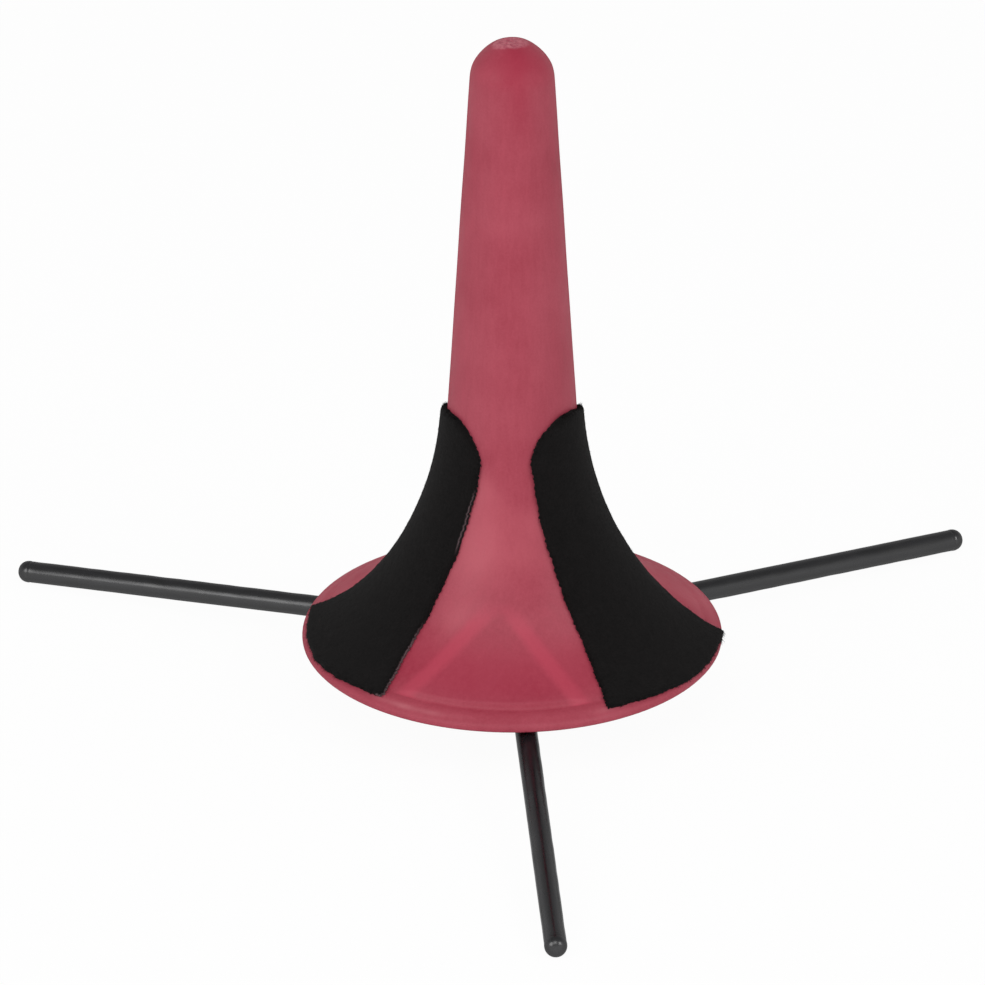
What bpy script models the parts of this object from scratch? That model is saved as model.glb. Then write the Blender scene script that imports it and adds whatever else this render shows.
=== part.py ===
"""A clarinet stand: a hollow trumpet-shaped cone with felt pads, plugged on a hub with three folding legs.

Metres, +Z up, the floor at z = 0. The front leg points along -Y. The cone lifts off the hub's plug, and
the legs fold down about their pins, so that hub and legs can be stored inside the cone.
"""

import math

import bmesh
import bpy
import numpy as np

MM = 0.001

# Fits
SEAT_GAP = 0.30 * MM        # between pieces that rest on each other
SNUG_GAP = 0.20 * MM        # between a core and what is pulled over it
PIN_FIT = 0.10 * MM         # radial clearance of the hinge pins
RING_FIT = 0.12 * MM        # radial clearance of the grip ring to the plug and to the socket

# Cone, with heights above the lip's lowest edge
RIM_RADIUS = 37.5 * MM
WAIST_RADIUS = 11.40 * MM
WAIST_HEIGHT = 45.5 * MM
SHOULDER_RADIUS = 7.41 * MM
SHOULDER_HEIGHT = 108.7 * MM
TOP_FLAT_RADIUS = 2.35 * MM
CONE_HEIGHT = 115.35 * MM
DOME_FALL = math.radians(19.0)  # the dome's fall below horizontal at the flat top's edge
DOME_PULL_TOP = 2.1 * MM       # how far the dome's curve keeps to that fall
DOME_PULL_SHOULDER = 3.2 * MM  # how far it keeps to the peg's direction
CONE_WALL = 1.8 * MM
LIP_ROUND = 1.4 * MM        # the lip's upper edge
EDGE_ROUND = 0.3 * MM       # the lip's lower edge
FLARE_END_FALL = math.radians(34.0)  # the flare's fall below horizontal where the lip begins
FLARE_PULL_WAIST = 35.8 * MM  # how far the flare's curve keeps to the waist's direction
FLARE_PULL_LIP = 2.4 * MM     # how far it keeps to the lip's direction

# Felt pads
PAD_THICKNESS = 0.9 * MM
PAD_TOP_HEIGHT = 46.8 * MM
PAD_FOOT_INSET = 2.1 * MM   # from the rim's edge, measured along the flare
PAD_FOOT_HALF_WIDTH = 19.0 * MM
PAD_NECK_HALF_WIDTH = 9.7 * MM
PAD_WIDENING = 4.1          # how late the pad widens on its way down
PAD_CORNER_WIDTH = 6.8 * MM
PAD_CORNER_HEIGHT = 7.8 * MM
PAD_CORNER_FULLNESS = 1.6   # 1 is a straight cut corner and 2 an elliptic one
# Each pad's angle round the cone and how far it was glued on askew, both in degrees
PAD_SEATS = {
    "felt_pad_left": (-75.3, -1.3),
    "felt_pad_right": (54.9, 2.1),
    "felt_pad_back": (170.6, 0.0),
}

# Bare plaque on the flare, between the two front pads
PLAQUE_ANGLE = -10.7
PLAQUE_TOP_HEIGHT = 14.0 * MM
PLAQUE_FOOT_INSET = 3.6 * MM
PLAQUE_TOP_HALF_WIDTH = 4.7 * MM
PLAQUE_FOOT_HALF_WIDTH = 17.8 * MM
PLAQUE_RELIEF = 0.5 * MM
PLAQUE_ROOT = 0.6 * MM      # how deep the plaque's solid is sunk in the wall

# Legs
LEG_AZIMUTHS = (-90.0, 30.0, 150.0)
LEG_SLOPE = math.radians(5.75)
LEG_REACH = 98.0 * MM       # from the stand's axis to the centre of a domed tip
LEG_RIM_GAP = 0.90 * MM     # between the sleeves' tops and the lip
SLEEVE_RADIUS = 1.87 * MM
SLEEVE_WALL = 0.42 * MM
SLEEVE_START = 8.5 * MM     # from the hinge pin, along the leg
TIP_RADIUS = 2.02 * MM
TIP_THICKNESS = 2.0 * MM    # the sleeve's closed end
EYE_RADIUS = 2.0 * MM
EYE_THICKNESS = 1.8 * MM
TONGUE_RELIEF = 0.06 * MM   # how far the flattened rod stays inside its eye's faces
TONGUE_LENGTH = 4.6 * MM
ROUND_START = 7.4 * MM      # where the rod is round again
PIN_CIRCLE_RADIUS = 5.6 * MM
PIN_RADIUS = 0.75 * MM
PIN_HALF_LENGTH = 4.2 * MM

# Hub
PLUG_RADIUS = 8.2 * MM
PLUG_HEIGHT = 20.0 * MM     # above the flange
PLUG_BORE_RADIUS = 5.2 * MM
PLUG_BORE_DEPTH = 14.5 * MM
FLANGE_RADIUS = 10.5 * MM
FLANGE_THICKNESS = 2.4 * MM
CORE_RADIUS = 7.9 * MM      # the hub's lower block and the clamp plate
CLAMP_THICKNESS = 3.0 * MM
HUB_CHAMFER = 0.5 * MM
GRIP_RING_SECTION = 0.8 * MM  # the ring's cord radius
GRIP_RING_HEIGHT = 14.0 * MM  # above the flange
GROOVE_SLACK = 0.3 * MM     # the groove is wider than the ring by this on each side

# Clamp screw and nut
SCREW_RADIUS = 1.25 * MM
SCREW_HEAD_RADIUS = 2.25 * MM
SCREW_HEAD_HEIGHT = 1.5 * MM
SCREW_DRIVE_RADIUS = 0.85 * MM
SCREW_DRIVE_DEPTH = 0.9 * MM
SCREW_OVERRUN = 0.8 * MM    # past the nut
NUT_ACROSS_FLATS = 5.0 * MM
NUT_HEIGHT = 2.0 * MM

# Socket inside the cone
SOCKET_WALL = 1.6 * MM
SOCKET_RIB_THICKNESS = 1.6 * MM
SOCKET_RIB_ANGLES = (0.0, 60.0, 120.0)  # each rib plate runs right across, so it makes two ribs

# Sides of the round shapes
CONE_STEPS = 60
HUB_STEPS = 48
LEG_STEPS = 20
SMALL_STEPS = 24
MERGE = 0.00001

# Derived places
ROD_RADIUS = SLEEVE_RADIUS - SLEEVE_WALL - SNUG_GAP
SLOPE_RATIO = math.tan(LEG_SLOPE)
PIN_TO_TIP = (LEG_REACH - PIN_CIRCLE_RADIUS) / math.cos(LEG_SLOPE)
STAND_AXIS_Y = (LEG_REACH - LEG_REACH * math.cos(math.radians(60.0))) / 2
SLOT_WIDTH = EYE_THICKNESS + 2 * SEAT_GAP
SOCKET_BORE_RADIUS = PLUG_RADIUS + SEAT_GAP


def leg_height(radius):
    """Height of a splayed leg's centre line at this distance from the stand's axis."""
    return TIP_RADIUS + (LEG_REACH - radius) * SLOPE_RATIO


PIN_Z = leg_height(PIN_CIRCLE_RADIUS)
RIM_Z = leg_height(RIM_RADIUS) + SLEEVE_RADIUS / math.cos(LEG_SLOPE) + LEG_RIM_GAP
FLANGE_BOTTOM_Z = leg_height(FLANGE_RADIUS) + EYE_RADIUS
FLANGE_TOP_Z = FLANGE_BOTTOM_Z + FLANGE_THICKNESS
PLUG_TOP_Z = FLANGE_TOP_Z + PLUG_HEIGHT
PLUG_BORE_FLOOR_Z = PLUG_TOP_Z - PLUG_BORE_DEPTH
NUT_Z = PLUG_BORE_FLOOR_Z - NUT_HEIGHT
CORE_BOTTOM_Z = PIN_Z + SEAT_GAP / 2
CLAMP_TOP_Z = PIN_Z - SEAT_GAP / 2
CLAMP_BOTTOM_Z = CLAMP_TOP_Z - CLAMP_THICKNESS
SCREW_SEAT_Z = CLAMP_BOTTOM_Z + SCREW_HEAD_HEIGHT + SEAT_GAP
SOCKET_BOTTOM_Z = FLANGE_TOP_Z + SEAT_GAP
SOCKET_TOP_Z = PLUG_TOP_Z


def clear_scene():
    """Removes what the startup file holds."""
    for obj in list(bpy.data.objects):
        bpy.data.objects.remove(obj)


def new_collection(name):
    """A collection in the scene."""
    collection = bpy.data.collections.new(name)
    bpy.context.scene.collection.children.link(collection)
    return collection


def linear(channel):
    """One 0 to 255 display value as linear light."""
    value = channel / 255
    return value / 12.92 if value <= 0.04045 else ((value + 0.055) / 1.055) ** 2.4


def new_material(name, colour, roughness, metallic=0.0):
    """A plain Principled material; colour is three display values from 0 to 255."""
    material = bpy.data.materials.new(name)
    material.use_nodes = True
    shader = material.node_tree.nodes["Principled BSDF"]
    shader.inputs["Base Color"].default_value = (*map(linear, colour), 1.0)
    shader.inputs["Roughness"].default_value = roughness
    shader.inputs["Metallic"].default_value = metallic
    return material


class Workshop:
    """The two collections, the materials and the empties that everything hangs from."""

    def __init__(self):
        self.parts = new_collection("clarinet_stand")
        self.cutters = new_collection("clarinet_stand_cutters")
        self.stand = self.empty("stand_axis", None, (0, STAND_AXIS_Y, 0), (0, 0, 0))

    def empty(self, name, parent, location, rotation):
        """An empty with its place below its parent."""
        empty = bpy.data.objects.new(name, None)
        empty.empty_display_size = 5 * MM
        empty.parent = parent
        empty.location = location
        empty.rotation_euler = rotation
        self.parts.objects.link(empty)
        return empty

    def add(self, name, mesh, material=None, parent=None, location=(0, 0, 0), rotation=(0, 0, 0)):
        """A part where a material is given, and otherwise a cutter."""
        obj = bpy.data.objects.new(name, mesh)
        obj.parent = parent or self.stand
        obj.location = location
        obj.rotation_euler = rotation
        if material:
            mesh.materials.append(material)
            self.parts.objects.link(obj)
        else:
            obj.hide_render = True
            obj.display_type = "WIRE"
            self.cutters.objects.link(obj)
        return obj


def profile_mesh(name, points, closed):
    """A mesh of edges through (radius, height) points in the XZ plane."""
    edges = [(i, i + 1) for i in range(len(points) - 1)]
    if closed:
        edges.append((len(points) - 1, 0))
    mesh = bpy.data.meshes.new(name)
    mesh.from_pydata([(r, 0, z) for r, z in points], edges, [])
    return mesh


def turn(obj, steps):
    """Turns an object's profile round its Z axis."""
    screw = obj.modifiers.new("turn", "SCREW")
    screw.steps = steps
    screw.render_steps = steps
    screw.use_merge_vertices = True
    screw.merge_threshold = MERGE
    screw.use_smooth_shade = True
    return obj


def join_or_cut(obj, operation, other):
    """Adds a Boolean with another object."""
    boolean = obj.modifiers.new(f"{operation.lower()}_{other.name}", "BOOLEAN")
    boolean.operation = operation
    boolean.object = other


def box_mesh(name, low, high):
    """A box between two corners."""
    bm = bmesh.new()
    bmesh.ops.create_cube(bm, size=1)
    for vert in bm.verts:
        vert.co = [(a + b) / 2 + c * (b - a) for a, b, c in zip(low, high, vert.co)]
    mesh = bpy.data.meshes.new(name)
    bm.to_mesh(mesh)
    bm.free()
    return mesh


def prism_mesh(name, radius, low, high, sides):
    """A closed prism or cylinder along Z."""
    bm = bmesh.new()
    bmesh.ops.create_cone(
        bm, cap_ends=True, segments=sides, radius1=radius, radius2=radius, depth=high - low
    )
    bmesh.ops.translate(bm, vec=(0, 0, (low + high) / 2), verts=bm.verts)
    mesh = bpy.data.meshes.new(name)
    bm.to_mesh(mesh)
    bm.free()
    if sides > 6:
        mesh.shade_smooth()
        mesh.set_sharp_from_angle(angle=math.radians(40))
    return mesh


# The cone's outline


def cubic_points(start, leave, arrive, end, count):
    """A cubic curve through its two ends, pulled towards two points between them."""
    t = np.linspace(0, 1, count)[:, None]
    return (1 - t) ** 3 * start + 3 * (1 - t) ** 2 * t * leave + 3 * (1 - t) * t**2 * arrive + t**3 * end


def downward(fall):
    """A step of one unit outwards and down at this fall below horizontal."""
    return np.array([math.cos(fall), -math.sin(fall)])


def taper_direction():
    """A step of one unit down the straight peg."""
    taper = np.array([WAIST_RADIUS - SHOULDER_RADIUS, WAIST_HEIGHT - SHOULDER_HEIGHT])
    return taper / np.hypot(*taper)


def dome_points(count=6):
    """A cubic curve from the flat top's edge that arrives at the shoulder along the peg."""
    start = np.array([TOP_FLAT_RADIUS, CONE_HEIGHT])
    end = np.array([SHOULDER_RADIUS, SHOULDER_HEIGHT])
    leave = start + DOME_PULL_TOP * downward(DOME_FALL)
    arrive = end - DOME_PULL_SHOULDER * taper_direction()
    return cubic_points(start, leave, arrive, end, count)


def taper_points(count=4):
    """The straight peg from the shoulder to the waist."""
    return np.column_stack([
        np.linspace(SHOULDER_RADIUS, WAIST_RADIUS, count),
        np.linspace(SHOULDER_HEIGHT, WAIST_HEIGHT, count),
    ])


def flare_points(count=14):
    """A cubic curve that leaves along the taper and arrives at the lip with its fall."""
    start = np.array([WAIST_RADIUS, WAIST_HEIGHT])
    end = np.array([
        RIM_RADIUS - LIP_ROUND * (1 - math.sin(FLARE_END_FALL)),
        EDGE_ROUND + LIP_ROUND * math.cos(FLARE_END_FALL),
    ])
    leave = start + FLARE_PULL_WAIST * taper_direction()
    arrive = end - FLARE_PULL_LIP * downward(FLARE_END_FALL)
    return cubic_points(start, leave, arrive, end, count)


def lip_points(count=4):
    """The arc from the flare's end to the rim's widest edge."""
    falls = np.linspace(FLARE_END_FALL, math.pi / 2, count)
    radii = RIM_RADIUS - LIP_ROUND * (1 - np.sin(falls))
    heights = EDGE_ROUND + LIP_ROUND * np.cos(falls)
    return np.column_stack([radii, heights])


def outer_points():
    """The cone's outer side from the flat top down to the rim."""
    return np.vstack([dome_points(), taper_points()[1:], flare_points()[1:], lip_points()[1:]])


def outward_normals(points):
    """Unit normals of a line of (radius, height) points that runs down the outer side."""
    along = np.gradient(points, axis=0)
    normals = np.column_stack([-along[:, 1], along[:, 0]])
    return normals / np.linalg.norm(normals, axis=1)[:, None]


def inset_points(depth):
    """The outer side moved inwards by this depth, above the rim's lower edge."""
    points = np.vstack([dome_points(), taper_points()[1:], flare_points()[1:]])
    normals = outward_normals(points)
    normals[0] = (0, 1)
    moved = points - depth * normals
    return moved[moved[:, 1] > EDGE_ROUND]


def on_stand(points):
    """Cone heights as heights above the floor."""
    return [(r, z + RIM_Z) for r, z in points]


def cone_profile():
    """The whole shell, from the top's centre down the outside and up the inside."""
    outer = outer_points()
    inner = inset_points(CONE_WALL)[::-1]
    edge = [(RIM_RADIUS - EDGE_ROUND, 0.0), (inner[0][0], 0.0)]
    crown = [(0.0, CONE_HEIGHT)]
    ceiling = [(0.0, CONE_HEIGHT - CONE_WALL)]
    return on_stand([*crown, *outer, *edge, *inner, *ceiling])


def hollow_profile():
    """What fits in the cone with a seat's gap all round, down to the socket's mouth."""
    wall = [p for p in inset_points(CONE_WALL + SEAT_GAP) if p[1] + RIM_Z > SOCKET_BOTTOM_Z - 2 * MM]
    return on_stand([(0.0, wall[0][1]), *wall, (0.0, wall[-1][1])])


class Meridian:
    """The cone's outer side as places along its own length, measured up from the rim's edge."""

    def __init__(self):
        points = np.vstack([
            dome_points(40), taper_points(40)[1:], flare_points(120)[1:], lip_points(20)[1:]
        ])[::-1]
        steps = np.linalg.norm(np.diff(points, axis=0), axis=1)
        self.lengths = np.concatenate([[0.0], np.cumsum(steps)])
        self.points = points
        self.normals = outward_normals(points[::-1])[::-1]

    def at(self, lengths, lift):
        """(radius, height) above the lip at these lengths, moved outwards by lift."""
        place = [np.interp(lengths, self.lengths, self.points[:, i]) for i in (0, 1)]
        normal = [np.interp(lengths, self.lengths, self.normals[:, i]) for i in (0, 1)]
        return place[0] + lift * normal[0], place[1] + lift * normal[1]

    def length_at(self, height):
        """Length up from the rim's edge to a height."""
        return float(np.interp(height, self.points[:, 1], self.lengths))


def flare_patch(name, meridian, lengths, half_widths, lift, askew=0.0, columns=9):
    """An open sheet on the flare: a flat grid whose rows are as wide as half_widths say, bent round the cone.

    Before it is bent, the sheet is turned about its middle by askew degrees.
    """
    rows = len(lengths)
    bm = bmesh.new()
    bmesh.ops.create_grid(bm, x_segments=columns - 1, y_segments=rows - 1, size=1)
    middle = (lengths[0] + lengths[-1]) / 2
    c, s = math.cos(math.radians(askew)), math.sin(math.radians(askew))
    for vert in bm.verts:
        row = round((vert.co.y + 1) / 2 * (rows - 1))
        across, up = vert.co.x * half_widths[row], lengths[row] - middle
        length = middle + up * c - across * s
        base_radius, _ = meridian.at(length, 0.0)
        radius, height = meridian.at(length, lift)
        angle = (across * c + up * s) / base_radius
        vert.co = (radius * math.sin(angle), -radius * math.cos(angle), height + RIM_Z)
    mesh = bpy.data.meshes.new(name)
    bm.to_mesh(mesh)
    bm.free()
    mesh.shade_smooth()
    return mesh


def thicken(obj, thickness):
    """Gives a sheet its thickness on the side that its normals point to."""
    solidify = obj.modifiers.new("thickness", "SOLIDIFY")
    solidify.thickness = thickness
    solidify.offset = 1.0


# Cone pieces


def make_cone(shop, meridian, plastic):
    """The shell with its raised bare plaque."""
    cone = shop.add("cone_body", profile_mesh("cone_body", cone_profile(), closed=False), plastic)
    turn(cone, CONE_STEPS)
    lengths = np.linspace(PLAQUE_FOOT_INSET, meridian.length_at(PLAQUE_TOP_HEIGHT), 6)
    widths = np.linspace(PLAQUE_FOOT_HALF_WIDTH, PLAQUE_TOP_HALF_WIDTH, 6)
    sheet = flare_patch("plaque", meridian, lengths, widths, -PLAQUE_ROOT)
    plaque = shop.add("plaque", sheet, rotation=(0, 0, math.radians(PLAQUE_ANGLE)))
    thicken(plaque, PLAQUE_ROOT + PLAQUE_RELIEF)
    join_or_cut(cone, "UNION", plaque)


def pad_rows(meridian):
    """The rows of a pad from foot to top, each with its length along the flare and its half width."""
    foot = PAD_FOOT_INSET
    top = meridian.length_at(PAD_TOP_HEIGHT)
    rise = np.concatenate([np.zeros(10), np.linspace(0, 1, 6)[1:]])
    lengths = np.linspace(foot, top - PAD_CORNER_HEIGHT, 10)
    lengths = np.concatenate([lengths, lengths[-1] + PAD_CORNER_HEIGHT * rise[10:]])
    share = 1 - (lengths - foot) / (top - foot)
    widths = PAD_NECK_HALF_WIDTH + (PAD_FOOT_HALF_WIDTH - PAD_NECK_HALF_WIDTH) * share**PAD_WIDENING
    kept = (1 - rise**PAD_CORNER_FULLNESS) ** (1 / PAD_CORNER_FULLNESS)
    return lengths, widths - PAD_CORNER_WIDTH * (1 - kept)


def make_pads(shop, meridian, felt):
    """Three felt pads bent round the flare."""
    lengths, widths = pad_rows(meridian)
    for name, (angle, askew) in PAD_SEATS.items():
        sheet = flare_patch(name, meridian, lengths, widths, SEAT_GAP, askew)
        pad = shop.add(name, sheet, felt, rotation=(0, 0, math.radians(angle)))
        thicken(pad, PAD_THICKNESS)


def make_socket(shop, plastic):
    """The tube that takes the plug, with ribs out to the cone's inner side."""
    outer = SOCKET_BORE_RADIUS + SOCKET_WALL
    socket = shop.add(
        "socket_insert",
        prism_mesh("socket_insert", outer, SOCKET_BOTTOM_Z, SOCKET_TOP_Z, HUB_STEPS),
        plastic,
    )
    hollow = shop.add("cone_hollow", profile_mesh("cone_hollow", hollow_profile(), closed=False))
    turn(hollow, CONE_STEPS)
    rib = box_mesh(
        "socket_rib",
        (-RIM_RADIUS, -SOCKET_RIB_THICKNESS / 2, SOCKET_BOTTOM_Z + SEAT_GAP),
        (RIM_RADIUS, SOCKET_RIB_THICKNESS / 2, SOCKET_TOP_Z - SEAT_GAP),
    )
    for number, angle in enumerate(SOCKET_RIB_ANGLES, 1):
        plate = shop.add(f"socket_rib_{number}", rib.copy(), rotation=(0, 0, math.radians(angle)))
        join_or_cut(socket, "UNION", plate)
    join_or_cut(socket, "INTERSECT", hollow)
    bore = prism_mesh(
        "socket_bore", SOCKET_BORE_RADIUS, SOCKET_BOTTOM_Z - 5 * MM, SOCKET_TOP_Z + 5 * MM, HUB_STEPS
    )
    join_or_cut(socket, "DIFFERENCE", shop.add("socket_bore", bore))


# Hub pieces


def slot_mesh(name):
    """A radial slot for a leg's tongue; its sloped top is the stop that the splayed leg leans on."""
    inner = PIN_CIRCLE_RADIUS - EYE_RADIUS - SEAT_GAP
    outer = FLANGE_RADIUS + 2 * MM
    mesh = box_mesh(name, (inner, -SLOT_WIDTH / 2, 0), (outer, SLOT_WIDTH / 2, PIN_Z))
    for vert in mesh.vertices:
        if vert.co.z > PIN_Z / 2:
            vert.co.z = leg_height(vert.co.x) + (EYE_RADIUS + SEAT_GAP) / math.cos(LEG_SLOPE)
    return mesh


def groove_section():
    """Top and bottom heights and floor radius of the grip ring's groove."""
    middle = FLANGE_TOP_Z + GRIP_RING_HEIGHT
    half = GRIP_RING_SECTION + GROOVE_SLACK
    floor = SOCKET_BORE_RADIUS - 2 * RING_FIT - 2 * GRIP_RING_SECTION
    return middle + half, middle - half, floor


def plug_profile():
    """The hub's upper half as a closed outline: plug, groove, flange, core, screw hole and bore."""
    c = HUB_CHAMFER
    groove_top, groove_bottom, floor = groove_section()
    hole = SCREW_RADIUS + SNUG_GAP
    return [
        (PLUG_RADIUS - c, PLUG_TOP_Z),
        (PLUG_RADIUS, PLUG_TOP_Z - c),
        (PLUG_RADIUS, groove_top),
        (floor, groove_top),
        (floor, groove_bottom),
        (PLUG_RADIUS, groove_bottom),
        (PLUG_RADIUS, FLANGE_TOP_Z),
        (FLANGE_RADIUS - c, FLANGE_TOP_Z),
        (FLANGE_RADIUS, FLANGE_TOP_Z - c),
        (FLANGE_RADIUS, FLANGE_BOTTOM_Z + c),
        (FLANGE_RADIUS - c, FLANGE_BOTTOM_Z),
        (CORE_RADIUS, FLANGE_BOTTOM_Z),
        (CORE_RADIUS, CORE_BOTTOM_Z),
        (hole, CORE_BOTTOM_Z),
        (hole, PLUG_BORE_FLOOR_Z),
        (PLUG_BORE_RADIUS, PLUG_BORE_FLOOR_Z),
        (PLUG_BORE_RADIUS, PLUG_TOP_Z),
    ]


def clamp_profile():
    """The clamp plate as a closed outline, with the screw head's recess below."""
    c = HUB_CHAMFER
    hole = SCREW_RADIUS + SNUG_GAP
    recess = SCREW_HEAD_RADIUS + SNUG_GAP
    return [
        (CORE_RADIUS, CLAMP_TOP_Z),
        (CORE_RADIUS, CLAMP_BOTTOM_Z + c),
        (CORE_RADIUS - c, CLAMP_BOTTOM_Z),
        (recess, CLAMP_BOTTOM_Z),
        (recess, SCREW_SEAT_Z + SEAT_GAP),
        (hole, SCREW_SEAT_Z + SEAT_GAP),
        (hole, CLAMP_TOP_Z),
    ]


def make_hub(shop, plastic):
    """The plug and the clamp plate, with slots for the tongues and grooves for the pins."""
    plug = shop.add("hub_plug", profile_mesh("hub_plug", plug_profile(), closed=True), plastic)
    clamp = shop.add(
        "hub_clamp_plate", profile_mesh("hub_clamp_plate", clamp_profile(), closed=True), plastic
    )
    turn(plug, HUB_STEPS)
    turn(clamp, HUB_STEPS)
    slot = slot_mesh("tongue_slot")
    groove = prism_mesh(
        "pin_groove",
        PIN_RADIUS + PIN_FIT,
        -PIN_HALF_LENGTH - SEAT_GAP,
        PIN_HALF_LENGTH + SEAT_GAP,
        SMALL_STEPS,
    )
    for number, azimuth in enumerate(LEG_AZIMUTHS, 1):
        turned = math.radians(azimuth)
        slot_cutter = shop.add(f"tongue_slot_{number}", slot.copy(), rotation=(0, 0, turned))
        groove_cutter = shop.add(
            f"pin_groove_{number}",
            groove.copy(),
            location=pin_place(turned),
            rotation=(math.radians(90), 0, turned),
        )
        for half in (plug, clamp):
            join_or_cut(half, "DIFFERENCE", slot_cutter)
            join_or_cut(half, "DIFFERENCE", groove_cutter)
    pocket_radius = NUT_ACROSS_FLATS / math.sqrt(3) + SNUG_GAP
    pocket = prism_mesh("nut_pocket", pocket_radius, NUT_Z - SEAT_GAP, PLUG_BORE_FLOOR_Z + 1 * MM, 6)
    join_or_cut(plug, "DIFFERENCE", shop.add("nut_pocket", pocket))


def make_screw(shop, steel):
    """The clamp screw from below and its nut in the plug."""
    tip_z = NUT_Z + NUT_HEIGHT + SCREW_OVERRUN
    head_bottom_z = SCREW_SEAT_Z - SCREW_HEAD_HEIGHT
    edge = SCREW_RADIUS / 4
    profile = [
        (0.0, tip_z),
        (SCREW_RADIUS - edge, tip_z),
        (SCREW_RADIUS, tip_z - edge),
        (SCREW_RADIUS, SCREW_SEAT_Z),
        (SCREW_HEAD_RADIUS, SCREW_SEAT_Z),
        (SCREW_HEAD_RADIUS, head_bottom_z + edge),
        (SCREW_HEAD_RADIUS - edge, head_bottom_z),
        (0.0, head_bottom_z),
    ]
    screw = shop.add("clamp_screw", profile_mesh("clamp_screw", profile, closed=False), steel)
    turn(screw, SMALL_STEPS)
    drive = prism_mesh(
        "screw_drive", SCREW_DRIVE_RADIUS, head_bottom_z - 1 * MM, head_bottom_z + SCREW_DRIVE_DEPTH, 6
    )
    join_or_cut(screw, "DIFFERENCE", shop.add("screw_drive", drive))
    nut_mesh = prism_mesh("clamp_nut", NUT_ACROSS_FLATS / math.sqrt(3), NUT_Z, NUT_Z + NUT_HEIGHT, 6)
    nut = shop.add("clamp_nut", nut_mesh, steel)
    bore = prism_mesh(
        "nut_bore", SCREW_RADIUS + PIN_FIT, NUT_Z - 1 * MM, NUT_Z + NUT_HEIGHT + 1 * MM, SMALL_STEPS
    )
    join_or_cut(nut, "DIFFERENCE", shop.add("nut_bore", bore))


def make_grip_ring(shop, rubber):
    """The rubber ring in the plug's groove."""
    middle_radius = SOCKET_BORE_RADIUS - RING_FIT - GRIP_RING_SECTION
    middle_z = FLANGE_TOP_Z + GRIP_RING_HEIGHT
    angles = np.linspace(0, -2 * math.pi, 10, endpoint=False)
    points = [
        (middle_radius + GRIP_RING_SECTION * math.cos(a), middle_z + GRIP_RING_SECTION * math.sin(a))
        for a in angles
    ]
    ring = shop.add("grip_ring", profile_mesh("grip_ring", points, closed=True), rubber)
    turn(ring, HUB_STEPS)


# Legs


def pin_place(turned):
    """Where a leg's hinge pin is, below the stand's axis."""
    return (
        PIN_CIRCLE_RADIUS * math.cos(turned),
        PIN_CIRCLE_RADIUS * math.sin(turned),
        PIN_Z,
    )


def rod_section(half_thickness, half_height, squareness, count=16):
    """A rounded section across the rod, from round at 2 to nearly flat-sided above."""
    angles = np.linspace(0, 2 * math.pi, count, endpoint=False)
    cosines, sines = np.cos(angles), np.sin(angles)
    across = half_thickness * np.sign(cosines) * np.abs(cosines) ** (2 / squareness)
    up = half_height * np.sign(sines) * np.abs(sines) ** (2 / squareness)
    return across, up


def rod_mesh(name):
    """A round rod whose end is flattened into a tongue: sections lofted along X."""
    flat = EYE_THICKNESS / 2 - TONGUE_RELIEF
    tall = EYE_RADIUS - TONGUE_RELIEF
    end = PIN_TO_TIP + TIP_RADIUS - TIP_THICKNESS - SEAT_GAP
    sections = [
        (0.0, flat, tall, 5.0),
        (TONGUE_LENGTH, flat, tall, 5.0),
        ((TONGUE_LENGTH + ROUND_START) / 2, (flat + ROD_RADIUS) / 2, (tall + ROD_RADIUS) / 2, 3.0),
        (ROUND_START, ROD_RADIUS, ROD_RADIUS, 2.0),
        (end - ROD_RADIUS / 3, ROD_RADIUS, ROD_RADIUS, 2.0),
        (end, ROD_RADIUS * 2 / 3, ROD_RADIUS * 2 / 3, 2.0),
    ]
    bm = bmesh.new()
    rings = []
    for x, half_thickness, half_height, squareness in sections:
        across, up = rod_section(half_thickness, half_height, squareness)
        rings.append([bm.verts.new((x, y, z)) for y, z in zip(across, up)])
    for first, second in zip(rings, rings[1:]):
        for i in range(len(first)):
            j = (i + 1) % len(first)
            bm.faces.new((first[i], second[i], second[j], first[j]))
    bm.faces.new(rings[0])
    bm.faces.new(rings[-1][::-1])
    bmesh.ops.recalc_face_normals(bm, faces=bm.faces)
    mesh = bpy.data.meshes.new(name)
    bm.to_mesh(mesh)
    bm.free()
    mesh.shade_smooth()
    mesh.set_sharp_from_angle(angle=math.radians(40))
    return mesh


def sleeve_profile():
    """The sleeve along its leg: a slightly swollen domed end, the plain tube, its mouth and its bore."""
    swell = math.asin(SLEEVE_RADIUS / TIP_RADIUS)
    angles = np.linspace(0, math.pi - swell, 8)[1:]
    dome = [
        (TIP_RADIUS * math.sin(a), PIN_TO_TIP + TIP_RADIUS * math.cos(a)) for a in angles
    ]
    bore = SLEEVE_RADIUS - SLEEVE_WALL
    bore_end = PIN_TO_TIP + TIP_RADIUS - TIP_THICKNESS
    return [
        (0.0, PIN_TO_TIP + TIP_RADIUS),
        *dome,
        (SLEEVE_RADIUS, SLEEVE_START),
        (bore, SLEEVE_START),
        (bore, bore_end),
        (0.0, bore_end),
    ]


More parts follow.
